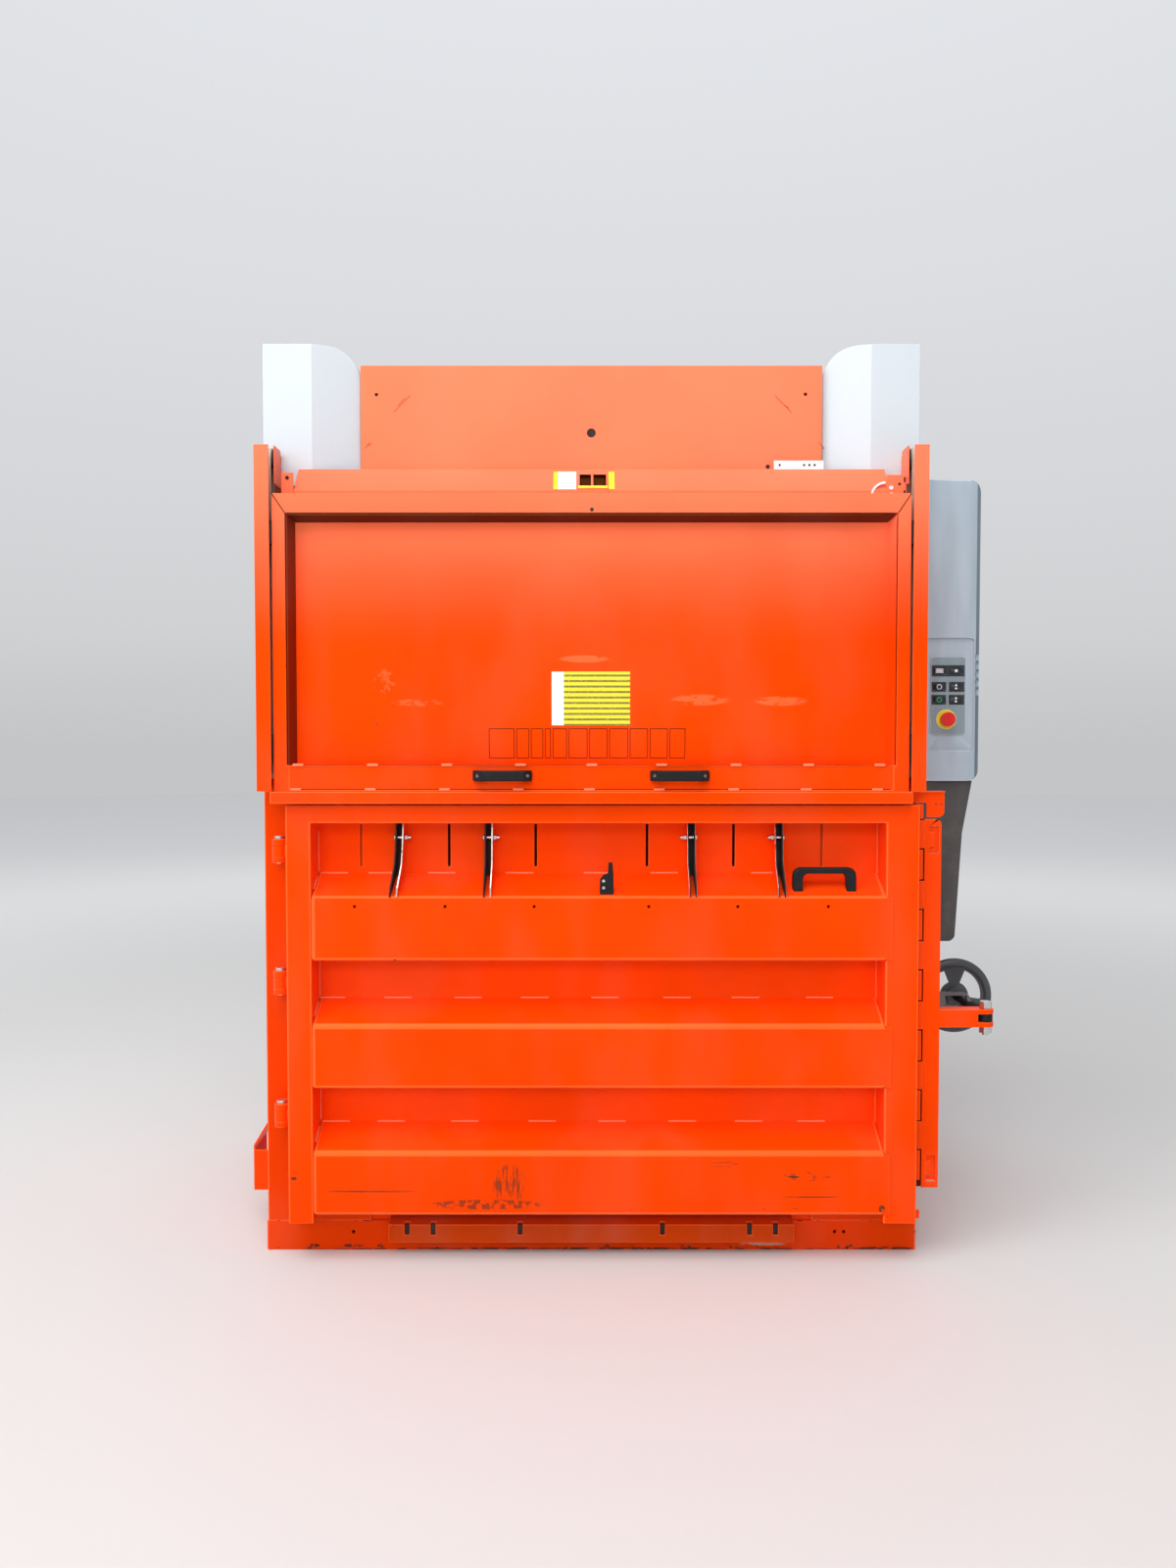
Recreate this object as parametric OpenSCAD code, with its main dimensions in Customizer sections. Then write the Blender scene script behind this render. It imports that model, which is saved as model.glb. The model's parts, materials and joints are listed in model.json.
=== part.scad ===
// Mill-size recycling baler. Two cylinders in the side columns draw a press platen down into
// a bale chamber. A guillotine hatch closes the loading opening, and a side-hinged door with
// three hat beams closes the chamber under it, held by a toothed lock bar and a handwheel.
// Millimetres, +Z up, front towards -Y, origin at the centre of the base's underside.

/* [Body] */
// Width of the base
body_w = 1774; // [1760:2:1900]
// Depth of the base
base_d = 1100; // [1080:10:1300]
// Height of the base tray
base_h = 80; // [60:5:90]
// Inset of the side columns from the base's edge
column_inset = 4; // [0:1:10]
// Depth of the side columns
column_d = 890; // [880:5:1000]
// Top of the side columns above the ground
column_top = 2040; // [2020:10:2060]
// Top of the chamber's side walls, which guide the raised platen
wall_top = 2340; // [2300:10:2380]
// Thickness of structural plate
plate_t = 8; // [6:1:10]
// Thickness of folded cover sheet
sheet_t = 3; // [2:0.5:4]
// Diameter of the floor anchor holes
anchor_d = 18; // [12:1:24]

/* [Chamber] */
// Inner width of the bale chamber
chamber_w = 1200; // [1160:10:1210]
// Inner depth of the bale chamber
chamber_d = 800; // [760:10:805]
// Thickness of the chamber floor
floor_t = 30; // [24:1:32]
// Width of the strap grooves in the floor and in the platen
groove_w = 24; // [16:1:40]
// Places of the strap grooves and of the strap guides across the width
strap_x = [-510, -273, 266, 499];

/* [Chamber door] */
// Left edge of the door
door_left = -800; // [-806:1:-796]
// Right edge of the door's frame
door_right = 859; // [850:1:862]
// Bottom edge of the door
door_bottom = 114; // [112:1:120]
// Depth of the door's frame in front of its skin
door_depth = 90; // [80:1:95]
// Thickness of the door's skin
skin_t = 5; // [4:1:6]
// Width of the hinge-side stile
left_stile_w = 65; // [60:1:90]
// Width of the lock-side stile
right_stile_w = 87; // [70:1:100]
// Height of the door's top rail
top_rail_h = 48; // [40:1:60]
// Height of the recess for the straps between the top beam and the top rail
recess_h = 140; // [127:1:147]
// Number of hat beams across the door
beam_count = 3; // [2:1:3]
// Spacing of the hat beams
beam_pitch = 338; // [300:1:345]
// Height of a beam's front face
beam_face_h = 168; // [140:1:180]
// Drop of a beam's sloped top from the skin to its front edge
beam_slope_h = 54; // [40:1:70]
// Height of the lowest beam's underside above the ground
beam_first_z = 137; // [130:1:145]
// Plate of the hat beams
beam_t = 5; // [4:1:6]
// Distance of the hinge axis in front of the body's front face
hinge_out = 45; // [42:1:50]
// Distance of the hinge axis outside the door's left edge
hinge_side = 29; // [27:1:34]
// Radius of the hinge knuckles
knuckle_r = 20; // [16:1:22]
// Radius of the hinge pins
hinge_pin_r = 9; // [7:1:11]
// Heights of the three hinges
hinge_z = [390, 747, 1099];

/* [Door lock] */
// Number of notches in the door's edge, the lowest of which stays empty
tooth_count = 7; // [5:1:7]
// Spacing of the teeth
tooth_pitch = 161; // [150:1:164]
// Height of one tooth
tooth_h = 74; // [50:1:90]
// Height of the lowest notch's middle above the ground
tooth_first_z = 178; // [170:1:182]
// Distance of the lock bar's axis outside the door's right edge
lock_side = 46; // [44:1:50]
// Distance of the lock bar's axis in front of the body's front face
lock_out = 40; // [36:1:44]
// Length of the lock bar
lock_bar_h = 986; // [960:2:1000]
// Height of the lock bar's lower end above the ground
lock_bar_z = 198; // [190:1:205]
// Height of the arm and the handwheel above the ground
arm_z = 653; // [640:1:665]
// Distance from the lock bar's axis to the spindle's bolt
arm_reach = 149; // [130:1:160]
// Radius of the handwheel
wheel_r = 108; // [85:1:125]
// Radius of the threaded spindle
spindle_r = 12; // [9:1:14]

/* [Loading hatch] */
// Width of the hatch
hatch_w = 1648; // [1636:2:1652]
// Height of the hatch
hatch_h = 768; // [740:2:770]
// Depth of the hatch's frame
hatch_d = 48; // [40:1:50]
// Width of the hatch frame's sides
hatch_side_w = 34; // [28:1:50]
// Height of the hatch frame's top rail
hatch_top_h = 50; // [40:1:60]
// How far the hatch panel's flanges lean in
pan_lean = 13; // [8:1:20]
// Height of the stitched strip at the hatch's bottom
hatch_strip_h = 68; // [60:1:80]
// Height of the ledge under the hatch
ledge_h = 32; // [28:1:34]
// Gap between the door's top edge and the ledge
ledge_gap = 4; // [3:1:8]
// Width of a post's front flange
post_w = 38; // [36:1:44]
// Height of the posts above the ledge
post_h = 890; // [870:2:900]
// Radius of the counterbalance pulleys
pulley_r = 25; // [20:1:28]

/* [Top covers] */
// Overall height of the machine
cover_top = 2447; // [2440:1:2500]
// Gap between a cover's inner side and the chamber's side wall
cover_gap = 16; // [10:1:24]
// Distance of the covers' outer sides from the machine's middle
cover_out = 876; // [860:1:880]
// Distance of a cover's front fold from the machine's middle
fold_x = 746; // [720:1:780]
// How far the covers' inner half folds back
prow_d = 40; // [24:1:44]
// Radius of a cover's inner top corner
cover_r = 86; // [60:1:110]
// Top of the orange guard panel between the covers
guard_top = 2397; // [2360:1:2410]
// Distance of the guard panel behind the body's front face
guard_inset = 24; // [22:1:26]

/* [Press] */
// Distance of the cylinders from the machine's middle
cyl_x = 744; // [736:1:752]
// Outer radius of a cylinder
barrel_r = 65; // [60:1:72]
// Wall of a cylinder
barrel_t = 15; // [10:1:18]
// Length of a cylinder
barrel_h = 1210; // [1180:10:1220]
// Radius of a piston rod
rod_r = 35; // [28:1:40]
// Stroke of the platen
stroke = 950; // [800:10:955]
// Bottom of the raised platen
platen_z = 2034; // [2030:1:2060]
// Gap between the platen and the chamber's front and back
platen_gap = 30; // [28:1:40]
// Gap between the platen and the side walls
platen_side_gap = 12; // [8:1:16]
// Height of the platen's skirt
skirt_h = 200; // [160:5:210]
// Width of the yoke beam
yoke_w = 90; // [80:2:96]

/* [Control cabinet] */
// Distance of the cabinet's front behind the body's front face
cabinet_back = 200; // [180:5:240]
// Depth of the cabinet
cabinet_d = 300; // [250:10:340]
// Outer side of the cabinet from the machine's middle
cabinet_out = 1123; // [1100:1:1140]
// Bottom of the cabinet
cabinet_z = 1276; // [1260:1:1290]
// Height of the cabinet
cabinet_h = 857; // [830:1:870]
// Corner radius of the cabinet
cabinet_r = 45; // [30:1:60]
// Radius of the power cable's inlet under the cabinet
inlet_r = 12.5; // [8:0.5:16]
// Travel of a key
key_travel = 2; // [1:0.5:2]
// Travel of the emergency stop
stop_travel = 6; // [4:1:8]

/* [Clearances] */
// Running clearance of pins, rods and shoes
run_gap = 0.3; // [0.3:0.05:0.5]
// Clearance of the lock's teeth in their notches
tooth_gap = 4; // [3:0.5:6]
// Clearance between moving covers and frames
move_gap = 4; // [3:0.5:5]

/* [Hidden] */

paint = [1, 0.29, 0.02];
cover_grey = [0.72, 0.77, 0.82];
duct_grey = [0.36, 0.38, 0.4];
steel = [0.62, 0.63, 0.64];
black = [0.06, 0.06, 0.06];
nylon = [0.85, 0.83, 0.76];
arc_steps = 8;
fine = 48;
medium = 32;
small = 20;

half_w = body_w / 2;
front_y = -base_d / 2;
rear_y = base_d / 2;
wall_x = chamber_w / 2;
column_x = half_w - column_inset;
column_back = front_y + column_d;
chamber_back = front_y + chamber_d;
cyl_y = front_y + chamber_d / 2;
floor_top = base_h + floor_t;

door_back_y = front_y - 3;
skin_y = door_back_y - skin_t;
door_front_y = skin_y - door_depth;
beam_proud = 4;
beam_front_y = door_front_y - beam_proud;
beam_left = door_left + left_stile_w;
beam_right = door_right - right_stile_w;
beam_lap = 16;
hinge_x = door_left - hinge_side;
hinge_y = front_y - hinge_out;
knuckle_h = 30;
lug_h = 16;
top_beam_z = beam_first_z + (beam_count - 1) * beam_pitch;
slope_back_z = top_beam_z + beam_face_h + beam_slope_h;
slope_front_z = top_beam_z + beam_face_h;
door_top = slope_back_z + recess_h + top_rail_h;
slit_z = [slope_back_z + 18, door_top - 56];

lock_x = door_right + lock_side;
lock_y = front_y - lock_out;
bar_t = 8;
bar_front = 26;
bar_y = lock_y - bar_front;
bar_left = lock_x - 24;
bar_right = lock_x + 20;
comb_w = 18;
lock_knuckle_r = 14;
lock_pin_r = 8;
lock_lug_z = [250, 1130];
bolt_x = lock_x + arm_reach;
bolt_y = lock_y - 6;
arm_w = 40;
arm_h = 48;
eye_h = 20;
wheel_y = front_y + cabinet_back;
bracket_y = front_y + 145;
swing_in = 32;

hatch_gap = 17;
hatch_back_y = front_y - hatch_gap - 50;
hatch_front_y = hatch_back_y - hatch_d;
hatch_z = door_top + ledge_gap + ledge_h;
hatch_top = hatch_z + hatch_h;
hatch_x = hatch_w / 2;
post_x = hatch_x + move_gap;
post_out = post_x + post_w;
post_front_y = hatch_front_y - 10;
post_back_y = front_y;
post_t = 4;
post_top = hatch_z + post_h;
panel_t = 3;
pulley_y = front_y - 34;
pulley_w = 20;
pulley_x = post_out - post_t - 6 - pulley_w / 2;
pulley_top_z = post_top - 16;
pulley_low_z = hatch_z + 60;
belt_t = 3;
belt_front_y = pulley_y - pulley_r - run_gap - belt_t;

cover_in = wall_x + plate_t + cover_gap;
cover_front_y = front_y + 2;
cover_side_y = cover_front_y + prow_d;
cover_back_y = cyl_y + 150;
guard_y = front_y + guard_inset;

barrel_z = base_h;
barrel_top = barrel_z + barrel_h;
bore_r = barrel_r - barrel_t;
gland_h = 40;
foot_h = 50;
piston_h = 60;
plate_z = platen_z + floor_t;
yoke_z = plate_z + skirt_h + 26;
yoke_top = yoke_z + yoke_w;
yoke_half = cyl_x + 52;
stud_r = 25;
piston_z = barrel_top - gland_h - piston_h - 10;

cabinet_y = front_y + cabinet_back;
key_x = [998, 1046];
key_z = [1592, 1546, 1509];
key_w = 34;
key_h = 22;
stop_disc_r = 28;
stop_disc_t = 2;
stop_stem_r = 8;
stop_x = 1019;
stop_z = 1453;
panel_x = [974, 1074];
panel_z = [1410, 1632];

// Points of an arc about c, from angle a0 to a1
function arc(c, r, a0, a1) =
    [for (i = [0:arc_steps]) let (a = a0 + (a1 - a0) * i / arc_steps) c + r * [cos(a), sin(a)]];

// Points of a rectangle with round corners, from corner p to corner q
function round_rect(p, q, r) = concat(
    arc([q[0] - r, q[1] - r], r, 0, 90), arc([p[0] + r, q[1] - r], r, 90, 180),
    arc([p[0] + r, p[1] + r], r, 180, 270), arc([q[0] - r, p[1] + r], r, 270, 360));

// A box from corner a to corner b
module span(a, b) {
    translate(a) cube([b[0] - a[0], b[1] - a[1], b[2] - a[2]]);
}

// An outline given as X and Z points, from y0 back to y1
module along_y(y0, y1) {
    translate([0, y1, 0]) rotate([90, 0, 0]) linear_extrude(y1 - y0) children();
}

// An outline given as Y and Z points, from x0 right to x1
module along_x(x0, x1) {
    translate([x0, 0, 0]) rotate([90, 0, 90]) linear_extrude(x1 - x0) children();
}

// An upright round bar or hole
module rod_z(x, y, z0, z1, r, fn = medium) {
    translate([x, y, z0]) cylinder(h = z1 - z0, r = r, $fn = fn);
}

// A round bar or hole along X
module rod_x(x0, x1, y, z, r, fn = medium) {
    translate([x0, y, z]) rotate([0, 90, 0]) cylinder(h = x1 - x0, r = r, $fn = fn);
}

// A round bar or hole along Y
module rod_y(x, y0, y1, z, r, fn = medium) {
    translate([x, y1, z]) rotate([90, 0, 0]) cylinder(h = y1 - y0, r = r, $fn = fn);
}

// Folded base tray, open below, with cross bearers and four anchored feet
foot_w = 150;
foot_inset = 75 + plate_t;
anchor_x = half_w - foot_inset;
anchor_y = rear_y - foot_inset;
module base_frame() {
    color(paint) difference() {
        union() {
            difference() {
                span([-half_w, front_y, 0], [half_w, rear_y, base_h]);
                span([-half_w + plate_t, front_y + plate_t, -1],
                    [half_w - plate_t, rear_y - plate_t, base_h - plate_t]);
            }
            for (x = [-wall_x, 0, wall_x - plate_t])
                span([x, front_y + plate_t, 0], [x + plate_t, rear_y - plate_t, base_h - plate_t]);
            for (sx = [-1, 1], sy = [-1, 1])
                translate([sx * anchor_x, sy * anchor_y, plate_t / 2])
                    cube([foot_w, foot_w, plate_t], center = true);
        }
        for (sx = [-1, 1], sy = [-1, 1])
            rod_z(sx * anchor_x, sy * anchor_y, -1, plate_t + 1, anchor_d / 2);
        for (x = [-650, 665, 690])
            rod_y(x, front_y - 1, front_y + plate_t + 1, base_h * 0.62, 5, small);
    }
}

// Grooved chamber floor on the base tray
module chamber_floor() {
    color(steel) difference() {
        span([-wall_x, front_y + plate_t, base_h], [wall_x, chamber_back, floor_top]);
        for (x = strap_x)
            span([x - groove_w / 2, front_y, base_h + plate_t],
                [x + groove_w / 2, chamber_back + 1, floor_top + 1]);
    }
}

// One side wall of the chamber, with the slot that the yoke's end runs in
slot_half = yoke_w / 2 + move_gap;
slot_z = yoke_z - stroke - 12;
module side_wall(side) {
    color(paint) difference() {
        along_x(side > 0 ? wall_x : -wall_x - plate_t,
            side > 0 ? wall_x + plate_t : -wall_x)
            polygon([[front_y + plate_t, base_h], [column_back - plate_t, base_h],
                [column_back - plate_t, column_top], [chamber_back, column_top],
                [chamber_back, wall_top], [guard_y + sheet_t, wall_top],
                [guard_y + sheet_t, column_top], [front_y + plate_t, column_top]]);
        span([side * wall_x - plate_t * 2, cyl_y - slot_half, slot_z],
            [side * wall_x + plate_t * 2, cyl_y + slot_half, wall_top + 1]);
    }
}
module left_side_wall() { side_wall(-1); }
module right_side_wall() { side_wall(1); }

// Rear wall with hat ribs outside
rib_d = 70;
rib_slope = 30;
rear_rib_count = 5;
rear_rib_pitch = 380;
module rear_wall() {
    y0 = chamber_back;
    y1 = chamber_back + plate_t;
    color(paint) union() {
        span([-wall_x, y0, base_h], [wall_x, y1, column_top]);
        for (i = [0:rear_rib_count - 1]) {
            z = base_h + 120 + i * rear_rib_pitch;
            difference() {
                along_x(-wall_x, wall_x)
                    polygon([[y1, z], [y1 + rib_d, z + rib_slope],
                        [y1 + rib_d, z + 130 + rib_slope], [y1, z + 130 + rib_slope * 2]]);
                along_x(-wall_x + plate_t, wall_x - plate_t)
                    polygon([[y1, z + plate_t], [y1 + rib_d - plate_t, z + rib_slope + plate_t / 2],
                        [y1 + rib_d - plate_t, z + 130 + rib_slope - plate_t / 2],
                        [y1, z + 130 + rib_slope * 2 - plate_t]]);
            }
        }
    }
}

// One folded side column: a channel open to the chamber's side wall, with a slotted top plate
module side_column(side) {
    color(paint) mirror([side > 0 ? 0 : 1, 0, 0]) difference() {
        union() {
            translate([0, 0, base_h]) linear_extrude(column_top - base_h)
                polygon([[wall_x, front_y], [column_x, front_y], [column_x, column_back],
                    [wall_x, column_back], [wall_x, column_back - plate_t],
                    [column_x - plate_t, column_back - plate_t],
                    [column_x - plate_t, front_y + plate_t], [wall_x, front_y + plate_t]]);
            span([wall_x + plate_t, front_y + plate_t, column_top - plate_t],
                [column_x - plate_t, column_back - plate_t, column_top]);
        }
        span([wall_x, cyl_y - 80, column_top - plate_t * 2],
            [yoke_half + 20, cyl_y + 80, column_top + 1]);
    }
}
module left_column() { side_column(-1); }
module right_column() { side_column(1); }

// Sheet guard in front of the raised platen
guard_holes = [[0, 2218, 12], [-577, 2320, 5], [575, 2321, 5], [475, 2128, 6]];
module top_guard_panel() {
    flange = 16;
    half = cover_in - move_gap;
    color(paint) difference() {
        union() {
            span([-half, guard_y, column_top], [half, guard_y + sheet_t, guard_top]);
            span([-half, guard_y, guard_top - sheet_t], [half, guard_y + flange, guard_top]);
        }
        for (h = guard_holes) rod_y(h[0], guard_y - 1, guard_y + sheet_t + 1, h[1], h[2], small);
    }
}

// One grey cover over a rod: its inner half folds back, with a round top corner
module cover_plan(inset) {
    polygon([[cover_in + inset, cover_side_y + inset], [fold_x, cover_front_y + inset],
        [cover_out - inset, cover_front_y + inset], [cover_out - inset, cover_back_y - inset],
        [cover_in + inset, cover_back_y - inset]]);
}
module cover_face(inset) {
    polygon(concat([[cover_out - inset, column_top - (inset > 0 ? 1 : 0)],
        [cover_out - inset, cover_top - inset]],
        arc([cover_in + cover_r, cover_top - cover_r], cover_r - inset, 90, 180),
        [[cover_in + inset, column_top - (inset > 0 ? 1 : 0)]]));
}
module cover_block(inset) {
    intersection() {
        translate([0, 0, column_top - 1]) linear_extrude(cover_top) cover_plan(inset);
        along_y(front_y, cover_back_y + 1) cover_face(inset);
    }
}
module cylinder_cover(side) {
    color(cover_grey) mirror([side > 0 ? 0 : 1, 0, 0]) difference() {
        cover_block(0);
        cover_block(sheet_t);
        span([cover_in - 1, cyl_y - slot_half - 20, column_top - 1],
            [cover_in + sheet_t + 12, cover_back_y - sheet_t, guard_top + 10]);
    }
}
module left_cylinder_cover() { cylinder_cover(-1); }
module right_cylinder_cover() { cylinder_cover(1); }

// One folded post that guides the hatch and holds the counterbalance belt
cheek_half = 26;
axle_r = 8;
module hatch_post(side) {
    color(paint) mirror([side > 0 ? 0 : 1, 0, 0]) {
        translate([0, 0, hatch_z]) linear_extrude(post_h)
            polygon([[post_x, post_front_y], [post_out, post_front_y], [post_out, post_back_y],
                [post_x, post_back_y], [post_x, post_back_y - post_t],
                [post_out - post_t, post_back_y - post_t],
                [post_out - post_t, post_front_y + post_t], [post_x, post_front_y + post_t]]);
        span([post_x + 1, pulley_y - cheek_half, pulley_top_z - 70],
            [post_x + 4, post_back_y - post_t + 1, pulley_top_z + cheek_half + 4]);
        for (z = [pulley_low_z, pulley_top_z])
            rod_x(pulley_x - pulley_w / 2 - 4, post_out - post_t + 1, pulley_y, z, axle_r, small);
    }
}
module left_hatch_post() { hatch_post(-1); }
module right_hatch_post() { hatch_post(1); }

// Folded header across the posts, with a sloped top over the hatch's upper rail
header_half = 780;
header_front_y = hatch_back_y + 6;
header_edge_z = 2046;
header_fold_y = front_y - 10;
header_fold_z = 2113;
header_foot_z = 1992;
module hatch_header() {
    color(paint) {
        difference() {
            union() {
                along_x(-header_half, header_half)
                    polygon([[header_front_y, header_foot_z], [header_front_y, header_edge_z],
                        [header_fold_y, header_fold_z], [front_y, header_fold_z],
                        [front_y, header_fold_z - sheet_t],
                        [header_fold_y + 1, header_fold_z - sheet_t],
                        [header_front_y + sheet_t, header_edge_z - 1],
                        [header_front_y + sheet_t, header_foot_z + sheet_t],
                        [front_y, header_foot_z + sheet_t], [front_y, header_foot_z]]);
                header_latch();
            }
            span([latch_x[0] + latch_cheek, header_front_y - 10, latch_z[0]],
                [latch_x[1] - latch_cheek, front_y - 1, latch_z[1]]);
        }
        span([-cover_in + 2, front_y, header_fold_z - sheet_t], [cover_in - 2, guard_y, header_fold_z]);
        for (side = [-1, 1])
            span([side * 800 - 12, header_front_y, header_foot_z],
                [side * 800 + 12, front_y, header_edge_z + 22]);
        along_x(latch_bar_x, latch_bar_x + 6)
            polygon([[header_front_y + 2, header_edge_z + 6], [header_front_y + 12, header_edge_z + 6],
                [header_fold_y - 3, header_fold_z - 8], [header_fold_y - 13, header_fold_z - 8]]);
    }
}

// Catch for the raised safety bar on the header's slope, open into the header round one bar
latch_x = [-36, 44];
latch_cheek = 5;
latch_z = [header_edge_z + 13, header_edge_z + 49];
latch_bar_x = -1;
module header_latch() {
    along_x(latch_x[0], latch_x[1])
        polygon([[header_front_y + 1, header_edge_z - 26],
            [header_front_y - 3, header_edge_z - 26],
            [header_front_y - 3, header_edge_z + 4], [header_fold_y - 7, header_fold_z - 4],
            [header_fold_y + 1, header_fold_z - 1], [header_front_y + 1, header_edge_z - 1]]);
}

// Ledge that the closed hatch rests on
ledge_half = 833;
module hatch_ledge() {
    z0 = hatch_z - ledge_h;
    y0 = post_front_y;
    color(paint) difference() {
        span([-ledge_half, y0, z0], [ledge_half, front_y, hatch_z]);
        span([-ledge_half + plate_t, y0 + plate_t, z0 - 1],
            [ledge_half - plate_t, front_y - plate_t, hatch_z - plate_t]);
    }
}

// Bent strap channel along the foot of the door, with notches in its face
channel_half = 547;
channel_d = 40;
channel_t = 4;
notch_x = [-497, -427, -192, 192, 427, 497];
notch_half = 7;
module floor_strap_channel() {
    top = base_h + 19;
    bend = base_h + 6;
    y0 = front_y - channel_d;
    color(paint) difference() {
        along_x(-channel_half, channel_half)
            polygon([[y0, base_h - 43], [y0, bend], [front_y, top], [front_y, base_h - 20],
                [front_y - channel_t, base_h - 20], [front_y - channel_t, top - channel_t - 1],
                [y0 + channel_t, bend - channel_t + 1], [y0 + channel_t, base_h - 43]]);
        for (x = notch_x) span([x - notch_half, y0 - 1, bend - 28],
            [x + notch_half, y0 + channel_t + 8, bend + 8]);
        for (side = [-1, 1]) translate([side * channel_half, y0 - 1, base_h - 50])
            rotate([0, side * 30, 0]) translate([-30 + side * 30, 0, -60]) cube([60, 20, 120]);
    }
}

// One hydraulic cylinder: bored tube with a foot and a gland ring
module cylinder_barrel(side) {
    color(steel) translate([side * cyl_x, cyl_y, barrel_z]) difference() {
        union() {
            cylinder(h = barrel_h, r = barrel_r, $fn = fine);
            translate([-barrel_r - 12, -barrel_r - 12, 0])
                cube([2 * barrel_r + 24, 2 * barrel_r + 24, 20]);
            translate([0, 0, barrel_h - gland_h])
                cylinder(h = gland_h, r = barrel_r + 7, $fn = fine);
        }
        translate([0, 0, foot_h])
            cylinder(h = barrel_h - foot_h - gland_h, r = bore_r, $fn = fine);
        translate([0, 0, foot_h]) cylinder(h = barrel_h, r = rod_r + run_gap, $fn = fine);
    }
}
module left_cylinder_barrel() { cylinder_barrel(-1); }
module right_cylinder_barrel() { cylinder_barrel(1); }

// Oil tank on the rear of the base, with its filler
tank_x = [-420, 120];
tank_y = [column_back + 12, rear_y - 12];
tank_h = 430;
module oil_tank() {
    z1 = base_h + tank_h;
    color(duct_grey) union() {
        translate([0, 0, base_h]) linear_extrude(tank_h)
            polygon(round_rect([tank_x[0], tank_y[0]], [tank_x[1], tank_y[1]], 24));
        rod_z(tank_x[0] + 70, tank_y[0] + 70, z1 - 1, z1 + 26, 34);
        rod_y(tank_x[1] - 80, tank_y[1] - 1, tank_y[1] + 6, base_h + 300, 22);
    }
}

// Upright electric motor with its pump flange and terminal box
motor_x = -190;
motor_y = (tank_y[0] + tank_y[1]) / 2;
motor_r = 78;
module pump_motor() {
    z0 = base_h + tank_h;
    fin_count = 20;
    color(duct_grey) union() {
        rod_z(motor_x, motor_y, z0, z0 + 24, motor_r + 12, fine);
        rod_z(motor_x, motor_y, z0 + 23, z0 + 270, motor_r - 8, fine);
        rod_z(motor_x, motor_y, z0 + 250, z0 + 330, motor_r, fine);
        for (i = [0:fin_count - 1]) translate([motor_x, motor_y, z0 + 40])
            rotate([0, 0, i * 360 / fin_count]) translate([motor_r - 12, -1.5, 0]) cube([12, 3, 200]);
        span([motor_x + 40, motor_y - 45, z0 + 110], [motor_x + motor_r + 45, motor_y + 45, z0 + 200]);
    }
}

// Valve block with two solenoids
module valve_block() {
    z0 = base_h + tank_h;
    x0 = tank_x[1] - 150;
    color(steel) union() {
        span([x0, motor_y - 50, z0], [x0 + 110, motor_y + 50, z0 + 80]);
        for (x = [x0 + 30, x0 + 80]) rod_z(x, motor_y, z0 + 79, z0 + 150, 20);
    }
}

// Moulded control cabinet on the right column
module control_cabinet() {
    x0 = column_x;
    y0 = cabinet_y;
    y1 = cabinet_y + cabinet_d;
    z1 = cabinet_z + cabinet_h;
    color(cover_grey) difference() {
        intersection() {
            along_y(y0, y1) polygon(concat([[x0, cabinet_z], [x0, z1 + 6]],
                arc([cabinet_out - cabinet_r, z1 - cabinet_r], cabinet_r, 82, 0),
                arc([cabinet_out - cabinet_r, cabinet_z + cabinet_r], cabinet_r, 0, -90)));
            linear_extrude(z1 + 20) polygon(concat([[x0, y1], [x0, y0]],
                arc([cabinet_out - cabinet_r, y0 + cabinet_r], cabinet_r, -90, 0),
                [[cabinet_out, y1]]));
        }
        along_y(y0 - 1, y0 + panel_recess) polygon(round_rect([panel_x[0] - 14, panel_z[0] - 46],
            [panel_x[1] + 23, panel_z[1] + 53], 10));
        for (i = [0:4]) rod_y(cabinet_out - 12, y0 - 1, y0 + 27, panel_z[1] - i * 25, 11, small);
        rod_y(stop_x, y0, y0 + 34, stop_z, stop_stem_r + 2, small);
        rod_z(column_x + 60, y1 - 60, cabinet_z - 1, cabinet_z + 30, inlet_r);
    }
}

// Keypad plate in the cabinet's recess, with a pocket for each key
panel_recess = 8;
keypad_t = 4;
panel_front_y = cabinet_y + panel_recess - keypad_t;
key_t = 2.2;
key_proud = 1.5;
pocket_d = key_t - key_proud + key_travel + 0.3;
module control_panel() {
    y1 = cabinet_y + panel_recess;
    color(duct_grey) difference() {
        union() {
            along_y(panel_front_y, y1)
                polygon(round_rect([panel_x[0], panel_z[0]], [panel_x[1], panel_z[1]], 8));
            rod_y(stop_x, panel_front_y - stop_disc_t, panel_front_y + 1, stop_z, stop_disc_r, medium);
        }
        for (x = key_x, z = key_z)
            span([x - key_w / 2 - run_gap, panel_front_y - 1, z - key_h / 2 - run_gap],
                [x + key_w / 2 + run_gap, panel_front_y + pocket_d, z + key_h / 2 + run_gap]);
        rod_y(stop_x, panel_front_y - 5, y1 + 1, stop_z, stop_stem_r + run_gap, small);
    }
}

// Dark tapered duct under the cabinet
duct_z = 809;
duct_bend_z = 1125;
duct_x = [1058, 1076, 1103];
module cable_duct() {
    y0 = cabinet_y + 20;
    wall = 4;
    color(duct_grey) difference() {
        along_y(y0, y0 + 180) polygon([[column_x, duct_z + 10], [column_x + 12, duct_z],
            [duct_x[0] - 12, duct_z], [duct_x[0], duct_z + 12], [duct_x[1], duct_bend_z],
            [duct_x[2], cabinet_z], [column_x, cabinet_z]]);
        along_y(y0 + wall, y0 + 180 - wall) polygon([[column_x + wall, duct_z + 14],
            [duct_x[0] - wall - 2, duct_z + 14], [duct_x[1] - wall - 1, duct_bend_z],
            [duct_x[2] - wall - 2, cabinet_z + 1], [column_x + wall, cabinet_z + 1]]);
    }
}

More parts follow.
